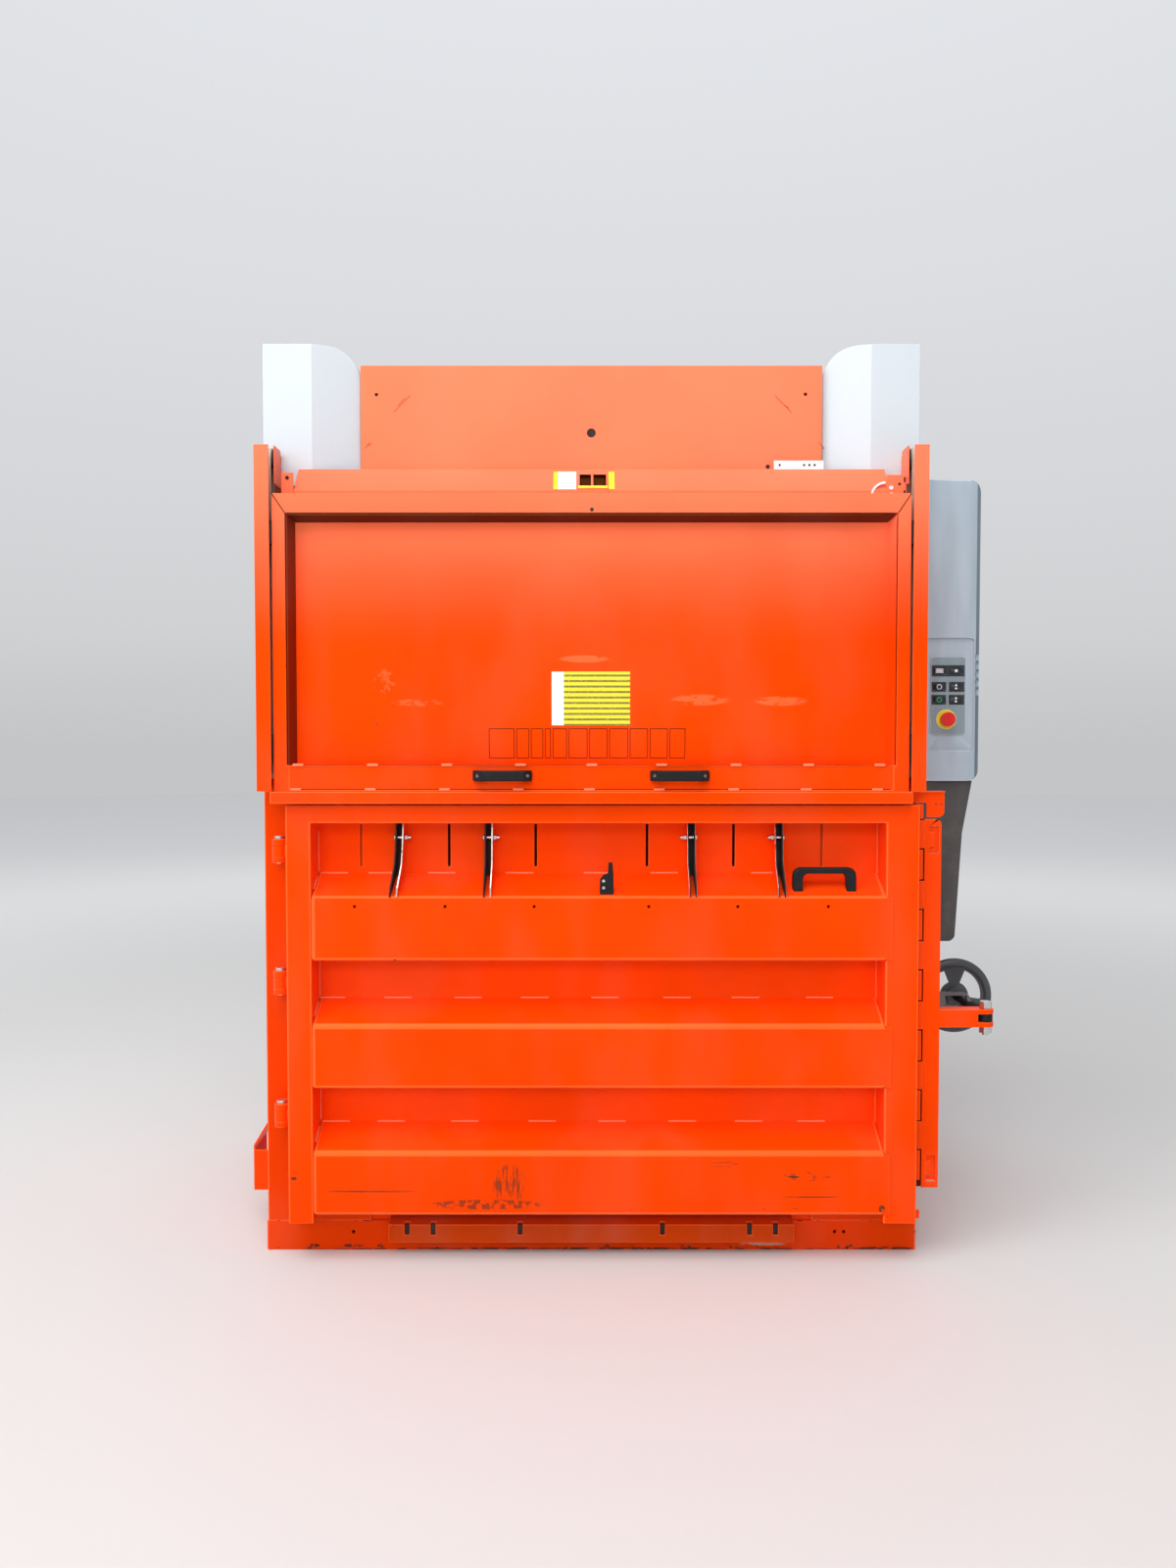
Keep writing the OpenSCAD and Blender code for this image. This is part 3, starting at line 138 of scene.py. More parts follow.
class BalerSizes(bpy.types.PropertyGroup):
    """Sizes of the dressing."""

    plate_edge: length("Plate edge", "Rounding of cut plate edges", 0.0016)
    fold: length("Fold", "Rounding of folded sheet", 0.004)
    beam_fold: length("Beam fold", "Rounding of the hat beams' folds", 0.009)
    housing_fold: length("Housing", "Rounding of the moulded cabinet", 0.012)
    stitch: length("Stitch", "Length of a stitch weld", 0.075)
    bead: length("Bead", "Width of a weld bead", 0.007)
    crown: length("Crown", "How far the hatch's sheet bows forward", 0.009)
    thread: length("Thread", "Pitch of the spindle's thread", 0.004)


class BalerStudio(bpy.types.PropertyGroup):
    """Floor, camera and light."""

    focal: number("Focal length", "For the long side of the frame", 25.99, min=5)
    tilt: number("Tilt", "Camera's angle from straight down", math.radians(88), subtype="ANGLE")
    stand: bpy.props.FloatVectorProperty(
        name="Camera", description="Where the camera stands", subtype="XYZ",
        default=(-0.009, -3.6, 1.381),
    )
    floor: colour("Floor", "Plain pale floor", (0.66, 0.66, 0.65))
    sky: number("Sky", "Radiance of the front softbox", 5.0, min=0)
    room: number("Room", "Radiance of the surroundings", 0.31, min=0)


SETTINGS = {
    "colours": BalerColours, "wear": BalerWear, "sizes": BalerSizes, "studio": BalerStudio,
}


def settings(kind):
    """One of the scene's setting groups."""
    return getattr(bpy.context.scene, "baler_" + kind)


# Shader node groups

SURFACE = ("Color", "Roughness", "Metallic", "Height")
SOCKETS = {1: "NodeSocketFloat", 3: "NodeSocketVector", 4: "NodeSocketColor"}


class Wires:
    """Shader nodes of one tree while they are wired up."""

    def __init__(self, tree, place=None):
        self.tree = tree
        self.place = self.node("TexCoord").outputs[place] if place else None

    def node(self, kind, **values):
        """A new shader node with its settings."""
        made = self.tree.nodes.new("ShaderNode" + kind)
        for label, value in values.items():
            setattr(made, label, value)
        return made

    def feed(self, socket, value):
        """Links a socket to value, or sets it."""
        if isinstance(value, bpy.types.NodeSocket):
            self.tree.links.new(value, socket)
        else:
            socket.default_value = (*value, 1)[:4] if socket.type == "RGBA" else value

    def fill(self, node, values):
        """Feeds a node's inputs and gives its outputs."""
        for label, value in values.items():
            self.feed(node.inputs[label], value)
        return node.outputs

    def reckon(self, kind, operation, *values):
        """The outputs of one Math or Vector Math node."""
        return self.fill(self.node(kind, operation=operation), dict(enumerate(values)))

    def sum(self, operation, *values):
        """The result of one Math node."""
        return self.reckon("Math", operation, *values)[0]

    def times(self, first, second, plus=None):
        """A product, with something added to it if plus is given."""
        if plus is None:
            return self.sum("MULTIPLY", first, second)
        return self.sum("MULTIPLY_ADD", first, second, plus)

    def both(self, share_of, first, second):
        """Two colours mixed by a share."""
        node = self.node("Mix", data_type="RGBA")
        return self.fill(node, {"Factor": share_of, 6: first, 7: second})[2]

    def toned(self, colour_of, value):
        """A colour made paler or darker."""
        return self.fill(self.node("HueSaturation"), {"Color": colour_of, "Value": value})[0]

    def grain(self, scale, detail=2.0, rough=0.5, stretch=(1, 1, 1)):
        """Noise over the object, stretched along its axes."""
        place = self.fill(self.node("Mapping"), {"Vector": self.place, "Scale": stretch})[0]
        values = {"Vector": place, "Scale": scale, "Detail": detail, "Roughness": rough}
        return self.fill(self.node("TexNoise"), values)[0]

    def step(self, value, low, high, start=0.0, end=1.0):
        """Value taken smoothly from start to end between two thresholds."""
        labels = ("Value", "From Min", "From Max", "To Min", "To Max")
        node = self.node("MapRange", interpolation_type="SMOOTHSTEP")
        return self.fill(node, dict(zip(labels, (value, low, high, start, end))))[0]

    def axis(self, label):
        """One coordinate of the point on the object."""
        return self.fill(self.node("SeparateXYZ"), {0: self.place})[label]


class Recipe(Wires):
    """A shader node group while it is wired up."""

    def __init__(self, name, gives=SURFACE, **takes):
        super().__init__(bpy.data.node_groups.new(name, "ShaderNodeTree"), "Object")
        new_socket = self.tree.interface.new_socket
        for label, value in takes.items():
            kind = SOCKETS[len(value) if isinstance(value, tuple) else 1]
            new_socket(name=label, in_out="INPUT", socket_type=kind).default_value = value
        for label in gives:
            kind = SOCKETS[4 if label == "Color" else 1]
            new_socket(name=label, in_out="OUTPUT", socket_type=kind)
        self.takes = self.tree.nodes.new("NodeGroupInput").outputs
        self.gives = self.tree.nodes.new("NodeGroupOutput").inputs

    def __getitem__(self, label):
        return self.takes[label]

    def give(self, **results):
        """Feeds the group's outputs and gives its tree."""
        for label, value in results.items():
            self.feed(self.gives[label], value)
        return self.tree


def worn_paint():
    """Enamel with chips, scratches, a battered foot, dust, a fine orange-peel surface, and a
    painted sheen: paler, pinker enamel high up that stands for the reflected sky.
    """
    r = Recipe(
        "Worn paint", Paint=(0.9, 0.1, 0.0, 1.0), Chip=(0.05, 0.03, 0.02, 1.0), Chips=0.2,
        Scratches=0.3, Foot=0.0, Dust=0.2, Gloss=0.3, Fade=0.0, Sheen_Colour=(1.0, 0.2, 0.1, 1.0),
    )
    foot = r.times(r.step(r.axis("Z"), 0.003, 0.03, 1, 0), r["Foot"])
    need = r.sum("SUBTRACT", 0.78, r.times(foot, 0.2, r.times(r["Chips"], 0.07)))
    chips = r.step(r.grain(46, 5, 0.62), need, r.sum("ADD", need, 0.012))
    lines = r.step(r.grain(3.1, 4, 0.7, (1.4, 1.4, 55)), 0.685, 0.7)
    scratch = r.times(lines, r.times(r.step(r.grain(3.7, 2), 0.5, 0.72), r["Scratches"]))
    haze = r.times(r.step(r.grain(6, 4, stretch=(1, 1, 0.35)), 0.4, 0.75), r["Dust"])
    # Painted reflection: from 1.62 m up to 2.16 m the enamel is painted paler and pinker, standing
    # for the bright sky reflected high on the body.
    fade = r.times(r.step(r.axis("Z"), 1.62, 2.16), r["Fade"])
    tone = r.step(r.grain(2.3, 3), 0.3, 0.7, 0.9, 1.03)
    plain = r.toned(r.both(fade, r["Paint"], r["Sheen_Colour"]), tone)
    dusty = r.both(r.times(haze, 0.16), plain, (0.55, 0.36, 0.27))
    marked = r.both(r.times(scratch, 0.75), dusty, r["Chip"])
    rough = r.times(haze, 0.35, r["Gloss"])
    waves = r.times(r.grain(7, 1), 0.6, r.times(r.grain(260, 1), 0.05))
    return r.give(
        Color=r.both(chips, marked, r["Chip"]),
        Roughness=r.times(r.sum("MAXIMUM", chips, scratch), 0.35, rough),
        Metallic=r.times(chips, 0.25),
        Height=r.sum("SUBTRACT", waves, r.times(chips, 0.5)),
    )


def worn_metal():
    """Metal with drawn streaks, dull patches and stains."""
    r = Recipe(
        "Worn metal", Metal=(0.4, 0.4, 0.4, 1.0), Stain=(0.12, 0.07, 0.04, 1.0), Stains=0.3,
        Streaks=(4.0, 4.0, 90.0), Gloss=0.35, Shine=1.0,
    )
    drawn = r.grain(6, 3, stretch=r["Streaks"])
    patches = r.grain(17, 5, 0.6)
    need = r.times(r["Stains"], -0.3, 0.78)
    stain = r.step(patches, need, r.sum("ADD", need, 0.12))
    bright = r.toned(r["Metal"], r.step(drawn, 0.3, 0.7, 0.86, 1.1))
    return r.give(
        Color=r.both(stain, bright, r["Stain"]),
        Roughness=r.times(stain, 0.3, r.times(drawn, 0.14, r["Gloss"])),
        Metallic=r.times(r.step(stain, 0, 1, 1, 0.3), r["Shine"]),
        Height=r.times(drawn, 0.25, r.times(patches, 0.2)),
    )


def moulded_skin():
    """Moulded plastic with a pebbled skin, faint flow marks and settled dust."""
    r = Recipe(
        "Moulded skin", Tint=(0.1, 0.1, 0.1, 1.0), Pebble=520.0, Depth=0.4, Gloss=0.45, Dust=0.2
    )
    flow = r.step(r.grain(26, 3, stretch=(1, 1, 0.12)), 0.3, 0.7, 0.93, 1.06)
    dust = r.times(r.step(r.grain(19, 5, 0.6), 0.45, 0.8), r["Dust"])
    return r.give(
        Color=r.both(r.times(dust, 0.3), r.toned(r["Tint"], flow), (0.3, 0.28, 0.25)),
        Roughness=r.times(dust, 0.3, r["Gloss"]), Metallic=0.0,
        Height=r.times(r.grain(r["Pebble"], 1), r["Depth"]),
    )


def rubbed_patch():
    """A patch of broken marks inside a soft box, laid over a colour."""
    r = Recipe(
        "Rubbed patch", ("Color",), Base=(0.8, 0.1, 0.0, 1.0), Mark=(0.1, 0.05, 0.03, 1.0),
        Middle=(0.0, 0.0, 0.0), Half=(0.05, 1.0, 0.02), Stretch=(30.0, 30.0, 30.0),
        Cover=0.45, Strength=0.5,
    )
    away = r.reckon("VectorMath", "SUBTRACT", r.place, r["Middle"])[0]
    scaled = r.reckon("VectorMath", "DIVIDE", away, r["Half"])[0]
    reach = r.reckon("VectorMath", "LENGTH", scaled)["Value"]
    need = r.sum("SUBTRACT", 1, r["Cover"])
    marks = r.step(r.grain(1, 4, 0.65, r["Stretch"]), need, r.sum("ADD", need, 0.06))
    hit = r.times(r.times(r.step(reach, 0.75, 1.1, 1, 0), marks), r["Strength"])
    return r.give(Color=r.both(hit, r["Base"], r["Mark"]))


def ruled_card():
    """A card ruled with fine lines, as on a plain data card."""
    r = Recipe(
        "Ruled card", Field=(0.8, 0.7, 0.05, 1.0), Rule=(0.25, 0.22, 0.02, 1.0), Rules=70.0
    )
    wave = r.sum("SINE", r.times(r.axis("Z"), r.times(r["Rules"], math.tau)))
    breaks = r.step(r.grain(3, 2, stretch=(60, 1, 60)), 0.3, 0.5, 0.55, 0.9)
    rules = r.times(r.step(wave, 0.1, 0.5), breaks)
    return r.give(
        Color=r.both(rules, r["Field"], r["Rule"]), Roughness=0.4, Metallic=0.0,
        Height=r.times(r.grain(90, 2), 0.1),
    )


# Materials

GROUPS = {}
FINISHES = {}


def finish(name, kind, slot=None, bump=0.25, patches=(), shader=None, **values):
    """Makes a material from one surface group, with rubbed patches laid over its colour."""
    material = bpy.data.materials.new(name)
    material.use_nodes = True
    w = Wires(material.node_tree)
    surface = w.fill(w.node("Group", node_tree=GROUPS[kind]), values)
    shown = surface["Color"]
    for patch in patches:
        layer = w.node("Group", node_tree=GROUPS["patch"])
        shown = w.fill(layer, {"Base": shown, **patch})["Color"]
    relief = {"Strength": bump, "Distance": 0.0006, "Height": surface["Height"]}
    w.fill(w.tree.nodes["Principled BSDF"], {
        "Base Color": shown, "Roughness": surface["Roughness"], "Metallic": surface["Metallic"],
        "Normal": w.fill(w.node("Bump"), relief)["Normal"], **(shader or {}),
    })
    FINISHES[name] = (material, slot)


def smudges(mark, *rows):
    """Rubbed patches on the front in one colour.

    A row holds x, z and half the width and height in millimetres, then stretch, cover, strength.
    """
    front, reach = -620, 400
    return [
        {
            "Middle": mm(x, front, z), "Half": mm(half_x, reach, half_z), "Stretch": stretch,
            "Cover": cover, "Strength": strength, "Mark": mark,
        }
        for x, z, half_x, half_z, stretch, cover, strength in rows
    ]


RUST = (0.1, 0.035, 0.015)
PALE = (1.0, 0.2, 0.07)
SCRAPED = (0.5, 0.42, 0.36)
DIRT = (0.03, 0.022, 0.018)
HATCH_PATCHES = smudges(
    PALE,
    (-19, 1604, 66, 10, (40, 40, 60), 0.62, 0.5),
    (283, 1497, 78, 15, (26, 26, 70), 0.58, 0.45),
    (494, 1494, 70, 13, (30, 30, 70), 0.58, 0.45),
    (-540, 1545, 32, 34, (40, 40, 40), 0.52, 0.35),
    (-455, 1490, 70, 10, (30, 30, 60), 0.52, 0.35),
) + smudges(
    RUST,
    (639, 1609, 14, 34, (90, 90, 24), 0.42, 0.5),
    (-562, 1444, 8, 14, (70, 70, 40), 0.5, 0.6),
)
DOOR_PATCHES = smudges(
    RUST,
    (-583, 202, 128, 2.2, (9, 9, 240), 0.62, 0.9),
    (580, 187, 78, 2, (9, 9, 240), 0.62, 0.9),
    (532, 241, 18, 3, (20, 20, 240), 0.6, 0.95),
    (-217, 220, 46, 56, (150, 150, 16), 0.5, 0.75),
    (-278, 167, 158, 14, (60, 60, 60), 0.52, 0.75),
    (368, 275, 80, 10, (10, 10, 200), 0.48, 0.6),
    (585, 243, 98, 16, (36, 36, 70), 0.46, 0.5),
    (360, 154, 325, 8, (50, 50, 90), 0.38, 0.85),
    (767, 155, 9, 11, (120, 120, 120), 0.6, 0.95),
    (-731, 165, 5, 14, (120, 120, 120), 0.68, 0.95),
    (-786, 235, 8, 5, (90, 90, 90), 0.75, 0.95),
    (0, 215, 720, 60, (3, 3, 260), 0.36, 0.25),
)
FOOT_PATCHES = smudges(
    DIRT,
    (0, 0, 900, 7, (26, 26, 90), 0.56, 0.95),
    (-757, 12, 16, 5, (90, 90, 90), 0.6, 0.95),
    (-653, 12, 34, 5, (70, 70, 90), 0.58, 0.95),
    (-574, 12, 12, 5, (90, 90, 90), 0.58, 0.95),
    (800, 3, 90, 6, (40, 40, 90), 0.55, 0.9),
) + smudges(SCRAPED, (468, 16, 66, 4, (30, 30, 90), 0.6, 0.85))


class BALER_OT_finishes(bpy.types.Operator):
    """Build the node groups and every material"""

    bl_idname = "baler.finishes"
    bl_label = "Finishes"

    def execute(self, context):
        c, w = settings("colours"), settings("wear")
        GROUPS.update(
            paint=worn_paint(), metal=worn_metal(), plastic=moulded_skin(), patch=rubbed_patch(),
            card=ruled_card(),
        )
        enamel = {
            "Paint": c.paint, "Chip": c.chip, "Chips": w.chips, "Scratches": w.scratches,
            "Dust": w.dust, "Gloss": w.gloss, "Fade": w.fade,
            "shader": {"Specular IOR Level": 0.24, "Specular Tint": (1.0, 0.5, 0.1)},
        }
        # Paint for rounded edges: chips of real wear, and a paler orange that is a painted
        # highlight along the folds.
        worn_and_highlit = {"Chips": 1.0, "Gloss": 0.28, "Paint": (1.0, 0.12, 0.02)}
        for name, changes in (
            ("body_paint", {}),
            ("foot_paint", {"Paint": (0.76, 0.042, 0), "Foot": w.foot, "patches": FOOT_PATCHES}),
            ("door_paint", {"patches": DOOR_PATCHES}),
            ("hatch_paint", {"Chips": 0.0, "patches": HATCH_PATCHES}),
            ("paint_edge", worn_and_highlit),
            ("battered_edge", {**worn_and_highlit, "Chips": 2.4, "shader": None}),
            (
                "weld_paint",
                {**worn_and_highlit, "Chips": 0.5, "Paint": (1, 0.2, 0.08), "bump": 0.6, "shader": None},
            ),
            # Painted shade: dark enamel for the hatch's recessed flanges and the inside of the
            # latch window.
            ("shaded_fold", {"Fade": 0.0, "Paint": (0.1, 0.008, 0.002)}),
            ("shaded_side", {"Fade": 0.0, "Paint": (0.2, 0.012, 0.002)}),
            (
                "paint_score",
                {"Fade": 0.0, "Paint": (0.5, 0.06, 0.012), "Gloss": 0.6, "shader": None},
            ),
            ("seam", {"Fade": 0.0, "Paint": (0.1, 0.01, 0.003), "Gloss": 0.6}),
            (
                "worn_channel",
                {
                    "Paint": (0.52, 0.042, 0.002), "Chips": 0.9, "Dust": 0.6, "Gloss": 0.45,
                    "bump": 0.4,
                },
            ),
        ):
            finish(name, "paint", "orange_paint", **{**enamel, **changes})
        finish("tank_enamel", "paint", "tank_grey", Paint=c.tank, Chips=0.4, Dust=0.9, Gloss=0.45)
        rust, drawn, even = (0.12, 0.07, 0.04), (4, 4, 90), (400, 400, 400)
        for name, slot, bump, metal, stain, stains, streaks, gloss, shine in (
            ("cover_coat", "cover_grey", 0.08, c.cover, (0.3, 0.31, 0.32), 0, even, 0.36, 0.08),
            ("bright_edge", "raw_steel", 0.3, (0.66, 0.62, 0.58), (0.3, 0.1, 0.04), 0.75,
             (20, 20, 60), 0.25, 1),
            ("bare_steel", "raw_steel", 0.25, c.steel, rust, 0.45, (6, 60, 6), 0.35, 1),
            ("round_steel", "raw_steel", 0.08, (0.62, 0.62, 0.62), rust, 0.05, drawn, 0.16, 1),
            ("zinc", "zinc_steel", 0.2, c.zinc, (0.3, 0.26, 0.2), 0.3, drawn, 0.28, 1),
        ):
            finish(
                name, "metal", slot, bump, Metal=metal, Stain=stain, Stains=stains,
                Streaks=streaks, Gloss=gloss, Shine=shine,
            )
        for name, slot, bump, tint, pebble, gloss, dust in (
            ("cabinet_skin", "cabinet_grey", 0.12, c.cabinet, 900.0, 0.3, 0.15),
            ("cabinet_rim", "cabinet_grey", 0.12, (0.55, 0.64, 0.72), 520.0, 0.3, 0.05),
            ("cabinet_shade", "cabinet_grey", 0.12, (0.13, 0.17, 0.21), 520.0, 0.4, 0.1),
            ("keypad_skin", "duct_grey", 0.12, (0.23, 0.3, 0.34), 520.0, 0.4, 0.1),
            ("duct_skin", "duct_grey", 0.3, c.duct, 520.0, 0.55, 0.5),
            ("wheel_skin", "duct_grey", 0.2, (0.05, 0.056, 0.062), 520.0, 0.4, 0.2),
            ("pale_nylon", "white_nylon", 0.25, c.nylon, 520.0, 0.5, 0.2),
            ("stop_skin", "stop_red", 0.1, c.red, 520.0, 0.24, 0.1),
            ("collar_skin", None, 0.1, c.yellow, 520.0, 0.35, 0.15),
            ("start_skin", "key_green", 0.1, c.green, 520.0, 0.4, 0.05),
            ("key_skin", "key_dark", 0.1, (0.02, 0.026, 0.032), 520.0, 0.4, 0.1),
            ("white_skin", "key_white", 0.1, (0.78, 0.8, 0.82), 520.0, 0.4, 0.1),
            # Painted shade for holes, notches and gaps, and the real black of the end screw.
            ("gap_shade_and_black", "black_plastic", 0.1, (0.02, 0.01, 0.008), 520.0, 0.8, 0.3),
        ):
            finish(
                name, "plastic", slot, bump, Tint=tint, Pebble=pebble, Gloss=gloss, Dust=dust
            )
        finish(
            "black_skin", "plastic", "black_plastic", 0.4, shader={"Specular IOR Level": 0.14},
            Tint=c.plastic, Pebble=700.0, Gloss=0.42, Dust=0.1,
        )
        finish(
            "belt_weave", "plastic", "belt_grey", 0.7, Tint=c.belt, Pebble=240.0, Depth=1.0,
            Gloss=0.7, Dust=0.6,
        )
        finish("ruled_yellow", "card", None, 0.1, Field=c.yellow, Rule=(0.13, 0.12, 0.02))
        return {"FINISHED"}


# Modelling by hand

UPRIGHT = (math.radians(90), 0, 0)
EDGE_WEIGHT = "bevel_weight_edge"


def only(*pieces):
    """Selects these objects alone and makes the first one active."""
    bpy.ops.object.select_all(action="DESELECT")
    for piece in pieces:
        piece.select_set(True)
    bpy.context.view_layer.objects.active = pieces[0]


@contextlib.contextmanager
def editing(piece, action="DESELECT"):
    """Opens a piece in edit mode with nothing or all of it selected, and closes it."""
    only(piece)
    bpy.ops.object.mode_set(mode="EDIT")
    bpy.ops.mesh.select_all(action=action)
    yield bmesh.from_edit_mesh(piece.data)
    bpy.ops.object.mode_set(mode="OBJECT")


def pick(piece, elements):
    """Selects elements of a piece that is open in edit mode."""
    for element in elements:
        element.select_set(True)
    bmesh.from_edit_mesh(piece.data).select_flush_mode()
    bmesh.update_edit_mesh(piece.data)


def placed(name, data):
    """A new object that holds data, in the scene."""
    made = bpy.data.objects.new(name, data)
    bpy.context.collection.objects.link(made)
    return made


def modify(piece, kind, **values):
    """Adds a modifier and applies it."""
    only(piece)
    made = piece.modifiers.new(kind.title(), kind)
    for label, value in values.items():
        setattr(made, label, value)
    bpy.ops.object.modifier_apply(modifier=made.name)
    return piece


def smooth(piece, degrees):
    """Shades a piece smooth apart from edges that bend by more than an angle."""
    only(piece)
    bpy.ops.object.shade_smooth_by_angle(angle=math.radians(degrees))


def fresh(name, shape, scale=(1, 1, 1), **values):
    """A new primitive whose place is in its mesh."""
    bpy.ops.object.select_all(action="DESELECT")
    getattr(bpy.ops.mesh, f"primitive_{shape}_add")(**values)
    piece = bpy.context.object
    piece.scale = scale
    piece.name = piece.data.name = name
    bpy.ops.object.transform_apply(location=True, rotation=True, scale=True)
    return piece


def room_beside(edge):
    """How far an edge's two faces reach straight in from it at their narrowest."""
    reach = 1.0
    for loop in edge.link_loops:
        start, end = loop.vert.co, loop.link_loop_next.vert.co
        along = (end - start).normalized()
        inward = loop.face.normal.cross(along)
        for other in loop.face.edges:
            if other is edge:
                continue
            for part in (0.15, 0.5, 0.85):
                first, second = (vert.co - start.lerp(end, part) for vert in other.verts)
                before, after = first.dot(along), second.dot(along)
                if before * after < 0:
                    depth = first.lerp(second, before / (before - after)).dot(inward)
                    if depth > 1e-6:
                        reach = min(reach, depth)
    return reach


def round_edges(piece, width, segments=2, bend=28, least=None):
    """Rounds a piece's sharp edges, less where a face is narrow, and shades the rest smooth."""
    least = width * 1.6 if least is None else least
    with editing(piece) as mesh:
        layers = mesh.edges.layers.float
        weight = layers.get(EDGE_WEIGHT) or layers.new(EDGE_WEIGHT)
        for edge in mesh.edges:
            sharp = len(edge.link_faces) == 2 and edge.calc_face_angle() > math.radians(bend)
            rounded = sharp and edge.calc_length() > least
            edge[weight] = min(1.0, 0.4 * room_beside(edge) / width) if rounded else 0.0
            edge.smooth = rounded or not sharp
        for face in mesh.faces:
            face.smooth = True
        bmesh.update_edit_mesh(piece.data)
    modify(
        piece, "BEVEL", limit_method="WEIGHT", width=width, segments=segments,
        use_clamp_overlap=False, material=1 if len(piece.data.materials) > 1 else -1,
    )
    return modify(piece, "WEIGHTED_NORMAL", keep_sharp=True, weight=100)


def block(name, low, high, edge=0.0):
    """A box between two corners in millimetres, with rounded edges."""
    low, high = mm(*low), mm(*high)
    piece = fresh(name, "cube", high - low, size=1, location=(low + high) / 2)
    return round_edges(piece, mm(edge)) if edge else piece


def rod(name, start, end, radius, edge=0.0, sides=24):
    """A round bar between two points in millimetres, with rounded ends."""
    start, end = mm(*start), mm(*end)
    line = end - start
    piece = fresh(
        name, "cylinder", vertices=sides, radius=mm(radius), depth=line.length,
        location=(start + end) / 2, rotation=line.to_track_quat("Z", "Y").to_euler(),
    )
    return round_edges(piece, mm(edge)) if edge else piece


def screw(name, at, radius, height):
    """A screw head with a sunk drive that stands on a point of a front face, in millimetres."""
    at, out = Vector(at), Vector((0, -1, 0))
    piece = rod(name, at, at + out * height, radius)
    with editing(piece) as mesh:
        pick(piece, [face for face in mesh.faces if face.normal.dot(out) > 0.9])
        bpy.ops.mesh.inset(thickness=mm(radius * 0.5))
        bpy.ops.mesh.extrude_region_shrink_fatten(
            TRANSFORM_OT_shrink_fatten={"value": -mm(height * 0.6)}
        )
    return round_edges(piece, mm(height * 0.25), bend=50, least=0)


def again(piece, name, shift=(0, 0, 0), turn=None):
    """A copy of a piece with its own mesh, shifted in millimetres."""
    other = placed(name, piece.data.copy())
    other.data.transform(Matrix.Translation(mm(*shift)) @ (turn or Matrix()))
    return other


def turned(degrees, axis):
    """A turn about an axis."""
    return Matrix.Rotation(math.radians(degrees), 4, axis)


def joined(name, pieces):
    """Pieces joined into one object."""
    only(*pieces)
    if len(pieces) > 1:
        bpy.ops.object.join()
    piece = bpy.context.object
    piece.name = piece.data.name = name
    return piece


def settle(piece, body, *finishes, stands_for=()):
    """Gives a piece its finishes, its body and the nodes it stands for."""
    keep = [p.material_index for p in piece.data.polygons]
    piece.data.materials.clear()
    for name in finishes:
        piece.data.materials.append(FINISHES[name][0])
    for polygon, index in zip(piece.data.polygons, keep):
        polygon.material_index = min(index, len(finishes) - 1)
    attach(piece, body)
    if stands_for:
        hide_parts(*stands_for)


def spaces(piece, count):
    """Gives a piece a number of empty finish places."""
    while len(piece.data.materials) < count:
        piece.data.materials.append(None)


def copied(node, count=1):
    """A merged copy of a CAD node with places for its finishes, ready to be worked on."""
    piece = placed("dressed_" + node, frame["nodes"][node].data.copy())
    piece.data.materials.clear()
    spaces(piece, count)
    for polygon in piece.data.polygons:
        polygon.material_index = 0
    with editing(piece, "SELECT"):
        bpy.ops.mesh.remove_doubles(threshold=2e-5)
        bpy.ops.mesh.dissolve_limited(angle_limit=math.radians(0.5))
    return piece


def dressed(node, width, *finishes, segments=2, bend=28, least=None):
    """A CAD node's shape with rounded edges, standing for the node."""
    piece = round_edges(copied(node, len(finishes)), width, segments, bend, least)
    settle(piece, frame["nodes"][node]["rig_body"], *finishes, stands_for=(node,))
    return piece


def enamelled(width, *nodes):
    """CAD nodes in the body's enamel, with worn edges that carry a painted highlight."""
    for node in nodes:
        dressed(node, width, "body_paint", "paint_edge")


def painted(node, name):
    """Gives a CAD node a finish as it is."""
    for place in frame["nodes"][node].material_slots:
        place.material = FINISHES[name][0]


def faces_where(piece, index, test):
    """Gives the faces that pass a test one of the piece's finishes."""
    for polygon in piece.data.polygons:
        if test(polygon.center * 1000, polygon.normal):
            polygon.material_index = index


# Stage


